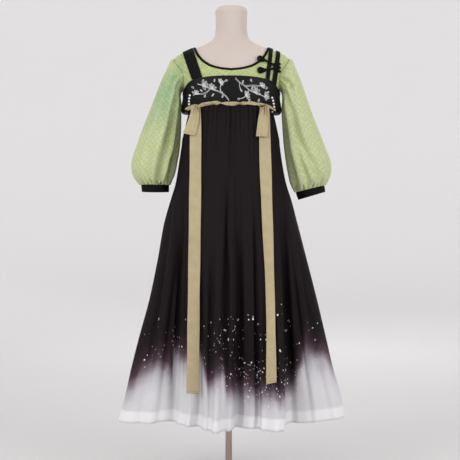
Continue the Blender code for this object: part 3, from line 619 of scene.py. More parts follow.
def makeForm():
    lowest, highest = bodyTable[0][0], bodyTable[-1][0]
    heights = lowest + (highest - lowest) * np.linspace(0, 1, form["rows"])
    angles = np.linspace(-180, 180, form["columns"] + 1)
    shell = bodyRing(angles[None, :], heights[:, None])
    under, over = [], []
    for share in (0.0, 0.5, 0.85, 0.97):  # flat ends, closed in the middle
        under.append(
            shell[0] * np.array([share, share, 1]) if share else shell[0] * np.array([0.001, 0.001, 1])
        )
        over.append(
            shell[-1] * np.array([share, share, 1]) if share else shell[-1] * np.array([0.001, 0.001, 1])
        )
    points = np.concatenate([np.array(under), shell, np.array(over[::-1])])
    piece = clothGrid("form_torso_cover", points, 0.0, closed=True)
    bpy.ops.object.mode_set(mode="EDIT")
    bpy.ops.mesh.select_all(action="SELECT")
    bpy.ops.mesh.remove_doubles(threshold=0.00005)
    bpy.ops.mesh.select_all(action="DESELECT")
    bpy.ops.mesh.select_non_manifold()
    bpy.ops.mesh.edge_face_add()
    bpy.ops.object.mode_set(mode="OBJECT")
    bpy.ops.object.shade_smooth_by_angle(angle=math.radians(40))
    finish(piece, jersey, ["form_torso"])


def makeStand():
    low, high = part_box("form_pole")
    bpy.ops.object.select_all(action="DESELECT")
    bpy.ops.mesh.primitive_cylinder_add(
        vertices=48, radius=form["poleRadius"], depth=high.z - low.z, location=(0, 0, (low.z + high.z) / 2)
    )
    pole = bpy.context.object
    pole.name = "stand_pole"
    bpy.ops.object.transform_apply(location=True)
    softenEdges(pole, 0.0008)
    finish(pole, poleSteel, ["form_pole"])
    bpy.ops.object.select_all(action="DESELECT")
    bpy.ops.mesh.primitive_circle_add(vertices=96, radius=form["footRadius"], fill_type="NGON")
    foot = bpy.context.object
    foot.name = "stand_foot"
    bpy.ops.object.mode_set(mode="EDIT")
    for inset, rise in ((0.0, 0.004), (0.004, 0.004), (0.106, 0.002), (0.026, 0.004), (0.008, 0.008)):
        bpy.ops.mesh.extrude_region_move()
        share = (radiusNow(foot) - inset) / radiusNow(foot)
        bpy.ops.transform.resize(value=(share, share, 1))
        bpy.ops.transform.translate(value=(0, 0, rise))
    bpy.ops.mesh.select_all(action="SELECT")
    bpy.ops.mesh.normals_make_consistent(inside=False)
    bpy.ops.object.mode_set(mode="OBJECT")
    softenEdges(foot, 0.001)
    finish(foot, footSteel, ["form_foot"])


def radiusNow(piece):
    piece.update_from_editmode()
    return max(math.hypot(v.co.x, v.co.y) for v in piece.data.vertices if v.select)


def softenEdges(piece, width):
    bpy.context.view_layer.objects.active = piece
    edge = piece.modifiers.new("edge", "BEVEL")
    edge.width = width
    edge.segments = 2
    edge.limit_method = "ANGLE"
    bpy.ops.object.modifier_apply(modifier=edge.name)
    bpy.ops.object.shade_smooth_by_angle(angle=math.radians(35))


makeForm()
makeStand()
print("dress form made")


# Blouse: front, back, sleeves, cuffs and the neck binding

blouse = {"hem": 1.03, "underarm": 1.312, "armholeTip": 0.76, "armholeReach": 24.0, "columns": 84, "rows": 80,
    "wall": 0.0009,
    "cuts": {"front": (0.46, 0.42, 0.158), "back": (0.46, 0.46, 0.177)},  # width, length, area
}
neckline = (
    # out from the middle, front height, back height
    (0.000, 1.3695, 1.4600), (0.042, 1.3755, 1.4595), (0.073, 1.3875, 1.4585),
    (0.098, 1.4080, 1.4565), (0.113, 1.4300, 1.4550), (0.122, 1.4525, 1.4525),
)
blouseCreases = {
    "front": (
        # across, up, to across, to up, width, depth
        (0.045, 0.70, 0.16, 0.62, 0.006, 0.0016), (0.03, 0.76, 0.13, 0.80, 0.005, 0.0012),
        (0.955, 0.72, 0.86, 0.64, 0.006, 0.0018), (0.965, 0.78, 0.88, 0.84, 0.005, 0.0012),
        (0.36, 0.83, 0.42, 0.97, 0.006, 0.0008), (0.63, 0.84, 0.58, 0.96, 0.006, 0.0008),
    ),
    "back": (
        (0.04, 0.66, 0.18, 0.58, 0.007, 0.0018), (0.95, 0.69, 0.80, 0.60, 0.007, 0.0018),
        (0.40, 0.96, 0.44, 0.74, 0.008, 0.0010), (0.62, 0.95, 0.57, 0.70, 0.008, 0.0010),
    ),
}


def necklineAt(share, back):
    # the height where a column of the blouse at this share of the way to the shoulder meets the neckline
    column = curveThrough(neckline, 2 if back else 1)
    low, high = np.full_like(share, 1.34), np.full_like(share, 1.475)
    for _ in range(40):
        middle = (low + high) / 2
        below = middle < column(np.abs(bodyWidth(middle) * np.sin(np.radians(90 * share))))
        low, high = np.where(below, middle, low), np.where(below, high, middle)
    return low


def armholeAngle(rise):
    tip = blouse["armholeTip"]
    cut = np.sin(np.pi * np.clip(rise / tip, 0, 1)) ** 0.8
    return 90 - 0.3 - blouse["armholeReach"] * np.where(rise < tip, cut, 0)


def blousePoints(back):
    shares = np.linspace(-1, 1, blouse["columns"] + 1)
    tops = necklineAt(np.abs(shares), back)
    turned = 180 if back else 0
    rows = []
    for height in np.linspace(blouse["hem"], blouse["underarm"], blouse["rows"] // 2, endpoint=False):
        rows.append(onBody(shares * 89.7 + turned, np.full_like(shares, height), blouseOut(height)))
    for rise in np.linspace(0, 1, blouse["rows"] // 2 + 1):
        heights = blouse["underarm"] + rise * (tops - blouse["underarm"])
        rows.append(onBody(shares * armholeAngle(rise) + turned, heights, blouseOut(heights)))
    return np.array(rows)


def armholeRing(side, count, lap=0.0, lift=0.0):
    # from the shoulder tip down the front and up the back; the lap is in degrees onto the blouse
    at = np.arange(count) / count * 2
    rise = blouse["armholeTip"] * np.abs(1 - at)
    ring = []
    for one, place in zip(rise, at):
        back = place > 1
        top = necklineAt(np.array([1.0]), back)[0]
        edge = (armholeAngle(np.array(one)) - lap) * side
        angle = 180 - edge if back else edge
        height = blouse["underarm"] + one * (top - blouse["underarm"])
        ring.append(onBody(np.array(angle), np.array(height), blouseOut(height) + lift))
    return np.array(ring)


def makeBlouse():
    for name in ("front", "back"):
        points = creased(blousePoints(name == "back"), blouseCreases[name])
        piece = clothGrid(f"blouse_{name}_cloth", points, blouse["wall"])
        finish(
            piece, jacquard, [f"blouse_{name}"],
        )


makeBlouse()
print("blouse body made")

sleeve = {
    "columns": 168, "rows": 110, "wall": 0.0009, "puff": (0.050, 0.006), "lap": 1.0,
    "cut": (0.44, 0.47), "cutArea": 0.165,
    "right": (
        # outer x, outer z, inner x, inner z, half depth
        (-0.212, 1.392, -0.1690, 1.296, 0.060),
        (-0.230, 1.352, -0.1695, 1.276, 0.063),
        (-0.254, 1.290, -0.1698, 1.240, 0.064),
        (-0.288, 1.205, -0.1705, 1.178, 0.064),
        (-0.316, 1.130, -0.1745, 1.118, 0.066),
        (-0.332, 1.078, -0.1815, 1.074, 0.067),
        (-0.331, 1.042, -0.1880, 1.040, 0.064),
        (-0.321, 1.018, -0.1970, 1.016, 0.056),
        (-0.302, 1.0007, -0.2065, 1.0002, 0.045),
    ),
    "left": (
        (0.212, 1.394, 0.1690, 1.296, 0.060),
        (0.232, 1.345, 0.1697, 1.276, 0.063),
        (0.253, 1.284, 0.1710, 1.232, 0.064),
        (0.283, 1.200, 0.1755, 1.150, 0.064),
        (0.311, 1.125, 0.1815, 1.090, 0.066),
        (0.329, 1.078, 0.1880, 1.046, 0.067),
        (0.331, 1.045, 0.1950, 1.010, 0.064),
        (0.325, 1.020, 0.2030, 0.990, 0.056),
        (0.3108, 0.9994, 0.2132, 0.9758, 0.045),
    ),
    # the gathers above each cuff: degrees round from the outer side over the front, depth, reach up the
    # sleeve
    "gathers": (
        (8, 0.0030, 0.045), (23, 0.0042, 0.070), (41, 0.0036, 0.050), (54, 0.0050, 0.085),
        (70, 0.0034, 0.055),
        (84, 0.0048, 0.075), (101, 0.0040, 0.060), (118, 0.0046, 0.090), (133, 0.0032, 0.050),
        (149, 0.0044, 0.080),
        (166, 0.0030, 0.055), (184, 0.0036, 0.060), (203, 0.0044, 0.080), (219, 0.0034, 0.050),
        (238, 0.0048, 0.085),
        (255, 0.0036, 0.055), (271, 0.0046, 0.070), (290, 0.0034, 0.060), (307, 0.0044, 0.080),
        (326, 0.0036, 0.050), (343, 0.0042, 0.065),
    ),
    # long soft folds: round and down as shares of the sleeve, then width and depth
    "folds": {
        "right": (
            (0.35, 0.26, 0.30, 0.97, 0.011, 0.0130), (0.43, 0.20, 0.40, 0.90, 0.010, 0.0110),
            (0.385, 0.60, 0.355, 0.98, 0.006, 0.0060),
            (0.27, 0.06, 0.23, 0.50, 0.010, 0.0045), (0.20, 0.50, 0.23, 0.95, 0.011, 0.0050),
            (0.33, 0.06, 0.36, 0.32, 0.008, 0.0050),
            (0.10, 0.20, 0.13, 0.70, 0.014, 0.0035), (0.62, 0.25, 0.66, 0.80, 0.013, 0.0090),
            (0.75, 0.45, 0.72, 0.92, 0.012, 0.0060), (0.86, 0.15, 0.84, 0.60, 0.014, 0.0045),
        ),
        "left": (
            (0.38, 0.14, 0.17, 0.90, 0.010, 0.0085), (0.43, 0.25, 0.39, 0.95, 0.010, 0.0110),
            (0.33, 0.48, 0.27, 0.95, 0.008, 0.0060),
            (0.32, 0.04, 0.24, 0.24, 0.008, 0.0055), (0.26, 0.16, 0.30, 0.58, 0.011, 0.0045),
            (0.37, 0.03, 0.33, 0.20, 0.006, 0.0045),
            (0.09, 0.45, 0.10, 0.90, 0.013, 0.0040), (0.60, 0.30, 0.64, 0.88, 0.013, 0.0090),
            (0.72, 0.14, 0.78, 0.62, 0.013, 0.0060), (0.88, 0.40, 0.85, 0.90, 0.012, 0.0045),
        ),
    },
}


def sleevePoints(name, side):
    table = [(i, *row) for i, row in enumerate(sleeve[name])]
    outerX, outerZ, innerX, innerZ, halfDepth = (curveThrough(table, column) for column in range(1, 6))
    count = sleeve["columns"]
    turn = np.linspace(0, 2 * math.pi, count + 1)[None, :]
    at = np.linspace(0, len(table) - 1, sleeve["rows"])[:, None]
    zero = np.zeros_like(at)
    outer = np.stack([outerX(at), zero, outerZ(at)], axis=-1)
    inner = np.stack([innerX(at), zero, innerZ(at)], axis=-1)
    forward = np.stack([zero * turn, -halfDepth(at) * np.sin(turn), zero * turn], axis=-1)
    body = (outer + inner) / 2 + (outer - inner) / 2 * np.cos(turn)[..., None] + forward
    start = armholeRing(side, count, sleeve["lap"], 0.0005)
    start = np.concatenate([start, start[:1]])
    # the sleeve's head leaves the armhole outwards and then turns down
    lead = np.array(
        [side * sleeve["puff"][0], 0, sleeve["puff"][1]]
    ) * (0.62 + 0.38 * np.cos(turn[0]))[:, None]
    after = (body[1] - body[0]) * 8
    joined = []
    for t in np.linspace(0, 1, 17)[:-1]:
        joined.append(
            start * (2 * t**3 - 3 * t**2 + 1) + lead * (t**3 - 2 * t**2 + t)
            + body[0] * (3 * t**2 - 2 * t**3) + after * (t**3 - t**2)
        )
    rings = np.concatenate([np.array(joined), body])
    rings = rings[::-1] if side < 0 else rings[::-1, ::-1]
    return rings


def sleeveShape(name, side):
    points = sleevePoints(name, side)
    rows, columns = points.shape[:2]
    up = np.linspace(0, 1, rows)[:, None]
    turn = np.linspace(0, 360, columns)[None, :]
    if side > 0:
        turn = 360 - turn
    push = np.zeros((rows, columns))
    for place, depth, reach in sleeve["gathers"]:
        length = reach / 0.42
        grown = easeIn(1 - up / length)
        apart = np.abs((turn - place + 180) % 360 - 180)
        push -= 1.7 * depth * grown * bump(apart, 0, 3.0 + 2.0 * up / length)
        push += 0.6 * depth * grown * bump(apart, 7.5, 3.4)
    push *= easeIn(up / 0.012)  # held flat in the cuff's seam
    points = points + normalsOf(points) * push[..., None]
    creases = []
    for startTurn, startDown, endTurn, endDown, width, depth in sleeve["folds"][name]:
        if side > 0:
            startTurn, endTurn = 1 - startTurn, 1 - endTurn
        creases.append((startTurn, 1 - startDown, endTurn, 1 - endDown, width, depth))
    points = creased(points, creases, closed=True)
    points[:, -1] = points[:, 0] = (points[:, 0] + points[:, -1]) / 2
    return points


def makeSleeves():
    for name, side in (("right", -1), ("left", 1)):
        piece = clothGrid(f"sleeve_{name}_cloth", sleeveShape(name, side), sleeve["wall"], closed=True)
        finish(
            piece, jacquard, [f"sleeve_{name}"],
        )


cuff = {
    # the outer and inner end of the top edge, and of the bottom edge
    "right": ((-0.3005, 1.000), (-0.2080, 0.9995), (-0.2985, 0.977), (-0.2085, 0.9765)),
    "left": ((0.3095, 0.9985), (0.2145, 0.9755), (0.3130, 0.9770), (0.2230, 0.9505)),
    "halfDepth": 0.042, "wall": 0.0016, "columns": 96, "cut": (0.275, 0.024),
}


def makeCuffs():
    for name, side in (("right", -1), ("left", 1)):
        topOuter, topInner, bottomOuter, bottomInner = (np.array((x, 0, z)) for x, z in cuff[name])
        turn = np.linspace(0, 2 * math.pi, cuff["columns"] + 1) * -side
        rows = []
        for share in np.linspace(0, 1, 13):
            outer = bottomOuter + (topOuter - bottomOuter) * share
            inner = bottomInner + (topInner - bottomInner) * share
            swell = 1 + 0.012 * math.sin(math.pi * share) + 0.004 * math.sin(5 * math.pi * share)
            forward = np.stack([0 * turn, -cuff["halfDepth"] * np.sin(turn), 0 * turn], axis=-1)
            ring = (outer - inner) / 2 * np.cos(turn)[:, None] + forward
            rows.append((outer + inner) / 2 + ring * swell)
        piece = clothGrid(f"cuff_{name}_band", np.array(rows), cuff["wall"], closed=True)
        finish(
            piece, trim, [f"cuff_{name}"],
        )


makeCuffs()
makeSleeves()
print("sleeves and cuffs made")

binding = {
    "below": 0.0052, "above": 0.0030, "lift": 0.0006, "roll": 0.0020, "wall": 0.0010, "cut": (0.80, 0.010)
}


def makeBinding():
    # a folded bias strip over the blouse's raw edge
    rows = []
    for past in np.linspace(-binding["below"], binding["above"], 11):
        loops = []
        for back in (False, True):
            points = blousePoints(back)
            top, below = points[-1], points[-2]
            along = unit(np.gradient(top, axis=0))
            outward = unit(np.cross(along, top - below))
            middle = (past * 2 + binding["below"] - binding["above"]) / (binding["below"] + binding["above"])
            rise = binding["lift"] + binding["roll"] * (1 - middle**4)
            loops.append(top + np.cross(outward, along) * past + outward * rise)
        front, back = loops
        path = [(front[0] + back[-1]) / 2, *front[1:-1], (front[-1] + back[0]) / 2, *back[1:-1]]
        rows.append([*path, path[0]])
    piece = clothGrid("neck_binding_strip", np.array(rows), binding["wall"], closed=True)
    finish(
        piece, trim, ["neck_binding"],
    )


makeBinding()
print("neck binding made")


# Chest band with its straps

band = {
    "columns": {"front": 130, "back": 90}, "rows": 34, "sideFlare": 0.021, "wall": 0.0012,
    "cuts": {"front": (0.42, 0.095), "back": (0.40, 0.070)},
    "edges": (
        # angle, bottom, top
        (-180, 1.236, 1.296), (-130, 1.236, 1.298), (-90, 1.239, 1.303), (-72, 1.243, 1.316),
        (-52, 1.255, 1.337),
        (-34, 1.2595, 1.344), (0, 1.2590, 1.347), (34, 1.2590, 1.343), (52, 1.255, 1.336),
        (72, 1.239, 1.314),
        (90, 1.236, 1.303), (130, 1.236, 1.298), (180, 1.236, 1.296),
    ),
    "flare": ((0.00, 0.00), (0.10, 0.80), (0.24, 1.00), (0.50, 0.52), (0.72, 0.15), (1.00, 0.00)),
    "creases": {
        "front": (
            (0.10, 0.10, 0.20, 0.42, 0.006, 0.0014), (0.17, 0.04, 0.24, 0.30, 0.005, 0.0010),
            (0.90, 0.08, 0.82, 0.40, 0.006, 0.0014),
            (0.36, 0.03, 0.38, 0.22, 0.004, 0.0007), (0.48, 0.02, 0.47, 0.20, 0.004, 0.0007),
            (0.60, 0.03, 0.62, 0.24, 0.004, 0.0008),
            (0.73, 0.03, 0.75, 0.26, 0.004, 0.0008), (0.04, 0.35, 0.12, 0.62, 0.006, 0.0010),
            (0.96, 0.34, 0.90, 0.60, 0.006, 0.0010),
        ),
        "back": (
            (0.12, 0.05, 0.20, 0.45, 0.006, 0.0012), (0.85, 0.06, 0.78, 0.40, 0.006, 0.0012),
            (0.5, 0.05, 0.52, 0.5, 0.006, 0.0008)
        ),
    },
}
bandBottom, bandTop = curveThrough(band["edges"], 1), curveThrough(band["edges"], 2)
bandFlare = curveThrough(band["flare"], 1)


def wrapped(angle):
    return (np.asarray(angle, float) + 180) % 360 - 180


def sideFlare(angle):
    return band["sideFlare"] * np.sin(np.radians(angle)) ** 8


def skirtTop(angle):
    height = bandBottom(wrapped(angle))
    return onBody(angle, height, dressOut(height))


def bandPoint(angle, share):
    bottom, top = bandBottom(wrapped(angle)), bandTop(wrapped(angle))
    height = bottom + share * (top - bottom) + 2 * gap * (1 - share)
    return onBody(angle, height, dressOut(height) + sideFlare(angle) * bandFlare(share))


def makeBand():
    for name, back in (("front", False), ("back", True)):
        angles = np.linspace(-90, 90, band["columns"][name] + 1)[None, :] + (180 if back else 0)
        shares = np.linspace(0, 1, band["rows"])[:, None]
        points = creased(bandPoint(angles, shares), band["creases"][name])
        # the turned top edge
        points = points + normalsOf(points) * (
            0.0007 * bump(shares, 0.97, 0.05) - 0.0004 * bump(shares, 0.88, 0.03)
        )[..., None]
        piece = clothGrid(f"chest_band_{name}_cloth", points, band["wall"])
        finish(
            piece, satin, [f"chest_band_{name}"],
        )


makeBand()
print("chest band made")

straps = {
    # front x, shoulder x, back x, half width, cut length
    "strap_right_wide": (-0.1085, -0.1435, -0.1000, 0.0163, 0.415),
    "strap_left_inner": (0.1145, 0.1295, 0.0920, 0.0063, 0.410),
    "strap_left_outer": (0.1355, 0.1530, 0.1150, 0.0063, 0.430),
    "stations": 60, "wall": 0.0012,
}


def shoulderHeight(x):
    heights = np.linspace(1.412, 1.50, 400)
    return np.interp(-np.abs(x), -bodyWidth(heights), heights)


def strapFoot(x, back):
    height = 1.30
    for _ in range(12):
        angle = math.degrees(math.asin(x / float(bodyWidth(height))))
        height = float(bandTop(180 - abs(angle) if back else angle)) + 3 * gap
    return height


def strapLine(endX, shoulderX, back):
    ridge, low = float(shoulderHeight(shoulderX)), strapFoot(endX, back)
    t = 1 - (1 - np.linspace(0, 1, straps["stations"] + 1)) ** 1.7
    height = low + (ridge - low) * t
    x = endX + (shoulderX - endX) * t
    return onBody(angleAt(x, height, back), height, dressOut(height) + 2 * gap)


def makeStraps():
    for name in ("strap_right_wide", "strap_left_inner", "strap_left_outer"):
        frontX, shoulderX, backX, half, cutLength = straps[name]
        lines = []
        for share in np.linspace(-1, 1, 13):
            front = strapLine(frontX + share * half, shoulderX + share * half, False)
            back = strapLine(backX + share * half, shoulderX + share * half, True)
            lines.append(np.concatenate([front, back[::-1][1:]]))
        points = np.array(lines).transpose(1, 0, 2)
        across = np.linspace(-1, 1, 13)[None, :]
        # the turned edges
        raised = 0.0004 * bump(np.abs(across), 0.86, 0.12) * np.ones((points.shape[0], 1))
        points = points + normalsOf(points) * raised[..., None]
        piece = clothGrid(f"{name}_cloth", points, straps["wall"])
        finish(
            piece, trim, [name],
        )


makeStraps()
print("straps made")


# Skirt: two gathered panels, dip-dyed

skirt = {
    # across, reach, lift
    "hemLifts": {
        "front": ((0.376, 0.110, 0.0125), (-0.215, 0.035, 0.0070)),
        "back": ((-0.376, 0.110, 0.0125), (0.10, 0.06, 0.0040), (-0.14, 0.05, 0.0050))
    },
    "hem": 0.218, "wall": 0.0009, "columns": {"front": 260, "back": 170}, "rows": 128,
    "cuts": {"front": (1.30, 1.06, 0.88), "back": (1.22, 1.06, 0.87)},  # width, length, area
    "rings": (
        # height, half width, front, back, middle
        (1.150, 0.1610, 0.134, 0.122, -0.0020),
        (1.070, 0.1725, 0.144, 0.138, -0.0025),
        (1.000, 0.1855, 0.150, 0.152, -0.0015),
        (0.950, 0.2010, 0.154, 0.162, -0.0010),
        (0.883, 0.2195, 0.159, 0.174, -0.0020),
        (0.750, 0.2490, 0.166, 0.196, 0.0030),
        (0.617, 0.2800, 0.170, 0.214, 0.0060),
        (0.483, 0.3140, 0.173, 0.226, 0.0035),
        (0.383, 0.3380, 0.174, 0.233, 0.0025),
        (0.283, 0.3630, 0.174, 0.238, 0.0050),
        (0.218, 0.3765, 0.174, 0.240, -0.0010),
    ),
    "folds": {
        "front": (
            # hem x, follow, start, out at the top, out at the hem
            (-0.376, 1.00, 0.90, 0.000, 0.000),
            (-0.300, 0.90, 0.95, 0.000, -0.040),
            (-0.214, 0.45, 1.02, 0.000, -0.085),
            (-0.180, 0.25, 1.00, 0.000, -0.066),
            (-0.141, 0.15, 0.95, 0.000, -0.038),
            (-0.117, 0.10, 0.95, 0.000, -0.060),
            (-0.080, 0.10, 0.95, 0.000, 0.002),
            (-0.050, 0.10, 1.00, 0.001, 0.042),
            (-0.010, 0.10, 1.10, 0.001, 0.014),
            (0.015, 0.10, 1.20, -0.004, -0.060),
            (0.040, 0.10, 1.10, 0.001, -0.036),
            (0.070, 0.10, 1.00, 0.001, -0.022),
            (0.084, 0.10, 0.95, 0.000, -0.026),
            (0.094, 0.10, 0.95, 0.000, 0.006),
            (0.145, 0.10, 1.00, 0.001, 0.036),
            (0.158, 0.15, 1.00, 0.000, 0.028),
            (0.178, 0.25, 1.02, 0.000, -0.052),
            (0.220, 0.45, 1.02, 0.000, -0.085),
            (0.300, 0.90, 0.95, 0.000, -0.040),
            (0.376, 1.00, 0.90, 0.000, 0.000),
        ),
        "back": (
            (-0.376, 1.00, 0.90, 0.000, 0.000),
            (-0.330, 0.90, 0.95, 0.000, 0.012),
            (-0.270, 0.70, 1.00, 0.000, -0.035),
            (-0.205, 0.50, 0.95, 0.000, 0.020),
            (-0.150, 0.40, 1.00, 0.000, -0.040),
            (-0.085, 0.20, 0.95, 0.000, 0.022),
            (-0.020, 0.10, 1.05, -0.002, -0.042),
            (0.055, 0.20, 0.95, 0.000, 0.024),
            (0.110, 0.30, 1.00, 0.000, -0.034),
            (0.180, 0.50, 0.95, 0.000, 0.018),
            (0.245, 0.70, 1.00, 0.000, -0.040),
            (0.320, 0.90, 0.95, 0.000, 0.010),
            (0.376, 1.00, 0.90, 0.000, 0.000),
        ),
    },
    # gathers let out of the seam: angle, depth, how far down they reach
    "gathers": {
        "front": (
            (-84, 0.0024, 0.20), (-76, 0.0030, 0.34), (-67, 0.0020, 0.22), (-55, 0.0016, 0.16),
            (-42, 0.0022, 0.30), (-35.5, 0.0014, 0.16),
            (-29, 0.0024, 0.44), (-23, 0.0016, 0.20), (-17, 0.0022, 0.36), (-11.5, 0.0014, 0.18),
            (-6, 0.0018, 0.30), (-0.8, 0.0034, 0.52),
            (5.5, 0.0016, 0.20), (10.5, 0.0020, 0.33), (16, 0.0014, 0.22), (21.5, 0.0024, 0.42),
            (28, 0.0016, 0.22), (34, 0.0022, 0.36),
            (41, 0.0014, 0.18), (56, 0.0018, 0.24), (66, 0.0024, 0.30), (75, 0.0028, 0.38),
            (83, 0.0022, 0.22),
        ),
        "back": (
            (-82, 0.0026, 0.24), (-71, 0.0024, 0.36), (-60, 0.0020, 0.22), (-48, 0.0028, 0.44),
            (-37, 0.0020, 0.26), (-25, 0.0026, 0.38),
            (-14, 0.0020, 0.24), (-3, 0.0032, 0.46), (8, 0.0020, 0.24), (19, 0.0026, 0.40),
            (31, 0.0022, 0.28), (43, 0.0028, 0.44),
            (55, 0.0020, 0.24), (66, 0.0026, 0.36), (77, 0.0024, 0.26),
        ),
    },
    # the long folds' own edges: x at the hem, x at the top, top height, width, depth
    "pleats": {
        "front": (
            (-0.300, -0.180, 1.02, 0.009, 0.014), (-0.238, -0.165, 0.84, 0.008, 0.012),
            (-0.190, -0.150, 1.04, 0.007, 0.021),
            (-0.128, -0.118, 0.76, 0.007, 0.011), (-0.072, -0.060, 0.88, 0.008, 0.018),
            (-0.022, -0.010, 1.19, 0.009, 0.024),
            (0.030, 0.022, 1.06, 0.009, 0.007), (0.086, 0.070, 1.02, 0.0045, 0.017),
            (0.152, 0.120, 0.76, 0.006, 0.012),
            (0.200, 0.155, 1.06, 0.008, 0.019), (0.262, 0.178, 0.92, 0.009, 0.014),
            (0.325, 0.195, 0.90, 0.008, 0.010),
        ),
        "back": (
            (-0.300, -0.170, 0.90, 0.008, 0.012), (-0.235, -0.150, 1.02, 0.007, 0.014),
            (-0.120, -0.080, 0.90, 0.007, 0.014),
            (-0.050, -0.030, 0.78, 0.008, 0.011), (0.020, 0.012, 1.08, 0.007, 0.017),
            (0.085, 0.070, 0.84, 0.007, 0.012),
            (0.150, 0.110, 0.98, 0.007, 0.014), (0.215, 0.150, 0.80, 0.008, 0.011),
            (0.290, 0.170, 0.98, 0.008, 0.014),
        ),
    },
}
skirtWidth, skirtFront, skirtBack, skirtMiddle = (
    curveThrough(skirt["rings"][::-1], column) for column in (1, 2, 3, 4)
)


def foldOut(folds, x, height, halfWidth):
    table = np.array(folds)
    grown = easeIn((table[:, 2] - height) / (table[:, 2] - skirt["hem"]))
    places = table[:, 0] * (1 + table[:, 1] * (halfWidth / skirt["rings"][-1][1] - 1))
    outs = table[:, 3] + (table[:, 4] - table[:, 3]) * grown
    i = np.clip(np.searchsorted(places, x) - 1, 0, len(places) - 2)
    t = easeIn((x - places[i]) / (places[i + 1] - places[i]))
    return np.where((x <= places[0]) | (x >= places[-1]), 0.0, outs[i] + (outs[i + 1] - outs[i]) * t)


def skirtRing(angle, height, name):
    # one level ring; angle is an array and height one number
    turn = np.radians(angle)
    halfWidth = float(skirtWidth(height))
    depth = float((skirtBack if name == "back" else skirtFront)(height))
    x = halfWidth * np.sin(turn)
    outWay = unit(np.stack([np.sin(turn) / halfWidth, -np.cos(turn) / depth, 0 * turn], axis=-1))
    place = np.stack([x + float(skirtMiddle(height)), -depth * np.cos(turn), height + 0 * turn], axis=-1)
    return place + outWay * foldOut(skirt["folds"][name], x, height, halfWidth)[:, None]


def skirtPoints(name, angles, shares):
    top = skirtTop(angles)
    first = skirt["rings"][0][0]
    upper = skirtRing(angles, first, name)
    rows = []
    for share in shares:
        heights = top[:, 2] + share * (skirt["hem"] - top[:, 2])
        row = np.empty_like(top)
        for i, height in enumerate(heights):
            if height >= first:
                row[i] = top[i] + (upper[i] - top[i]) * (top[i, 2] - height) / (top[i, 2] - first)
            else:
                row[i] = np.nan
        low = np.isnan(row[:, 0])
        if low.any():
            level = float(heights[low].mean())
            ring = skirtRing(angles, level, name)
            ring[:, 2] = heights
            row[low] = ring[low]
        rows.append(row)
    return np.array(rows)


def skirtAngles(count, back):
    shares = np.linspace(-1, 1, count + 1)
    return 90 * (0.65 * shares + 0.35 * shares**3) + (180 if back else 0)


dye = {
    "raised": 0.010,
    # across as seen from that side, height where the dye is half gone, about half of the fade's reach
    "front": (
        (-0.380, 0.312, 0.10), (-0.343, 0.328, 0.10), (-0.304, 0.366, 0.10), (-0.270, 0.398, 0.10),
        (-0.236, 0.410, 0.11),
        (-0.206, 0.392, 0.12), (-0.193, 0.386, 0.10), (-0.189, 0.462, 0.08), (-0.165, 0.438, 0.11),
        (-0.140, 0.414, 0.12),
        (-0.100, 0.452, 0.07), (-0.090, 0.420, 0.09), (-0.075, 0.350, 0.10), (-0.052, 0.374, 0.09),
        (-0.030, 0.404, 0.08),
        (-0.024, 0.398, 0.08), (-0.018, 0.345, 0.10), (0.000, 0.338, 0.10), (0.042, 0.338, 0.10),
        (0.078, 0.330, 0.10),
        (0.086, 0.300, 0.12), (0.094, 0.330, 0.10), (0.147, 0.318, 0.09), (0.172, 0.326, 0.09),
        (0.197, 0.340, 0.09), (0.209, 0.366, 0.10),
        (0.226, 0.412, 0.11), (0.243, 0.462, 0.12), (0.260, 0.444, 0.10), (0.320, 0.426, 0.10),
        (0.350, 0.388, 0.10), (0.380, 0.360, 0.10),
    ),
    "back": (
        (-0.380, 0.360, 0.10), (-0.335, 0.390, 0.11), (-0.304, 0.352, 0.10), (-0.296, 0.412, 0.11),
        (-0.262, 0.398, 0.12),
        (-0.239, 0.366, 0.11), (-0.231, 0.446, 0.12), (-0.190, 0.420, 0.12), (-0.150, 0.372, 0.11),
        (-0.124, 0.350, 0.10),
        (-0.116, 0.404, 0.11), (-0.080, 0.418, 0.11), (-0.054, 0.396, 0.10), (-0.046, 0.342, 0.10),
        (-0.010, 0.356, 0.11),
        (0.016, 0.345, 0.11), (0.024, 0.396, 0.12), (0.060, 0.410, 0.11), (0.081, 0.384, 0.11),
        (0.089, 0.332, 0.10),
        (0.125, 0.350, 0.11), (0.146, 0.342, 0.10), (0.154, 0.402, 0.12), (0.190, 0.432, 0.12),
        (0.211, 0.412, 0.11),
        (0.219, 0.364, 0.11), (0.255, 0.374, 0.11), (0.286, 0.344, 0.10), (0.294, 0.306, 0.10),
        (0.340, 0.316, 0.10), (0.380, 0.290, 0.10),
    ),
    # clumps of small petals: across, height, reach across, reach up, how close
    "scatter": {
        "front": (
            (0.045, 0.400, 0.075, 0.050, 0.80), (0.120, 0.360, 0.070, 0.045, 0.80),
            (-0.030, 0.480, 0.050, 0.060, 0.50),
            (-0.200, 0.460, 0.080, 0.045, 0.42), (0.185, 0.345, 0.040, 0.040, 0.75),
            (0.240, 0.450, 0.050, 0.045, 0.30), (0.050, 0.550, 0.220, 0.040, 0.26),
        ),
        "back": (
            (-0.170, 0.440, 0.090, 0.050, 0.35), (0.030, 0.400, 0.080, 0.055, 0.50),
            (0.200, 0.450, 0.080, 0.050, 0.30), (0.060, 0.540, 0.070, 0.060, 0.16)
        ),
    },
}


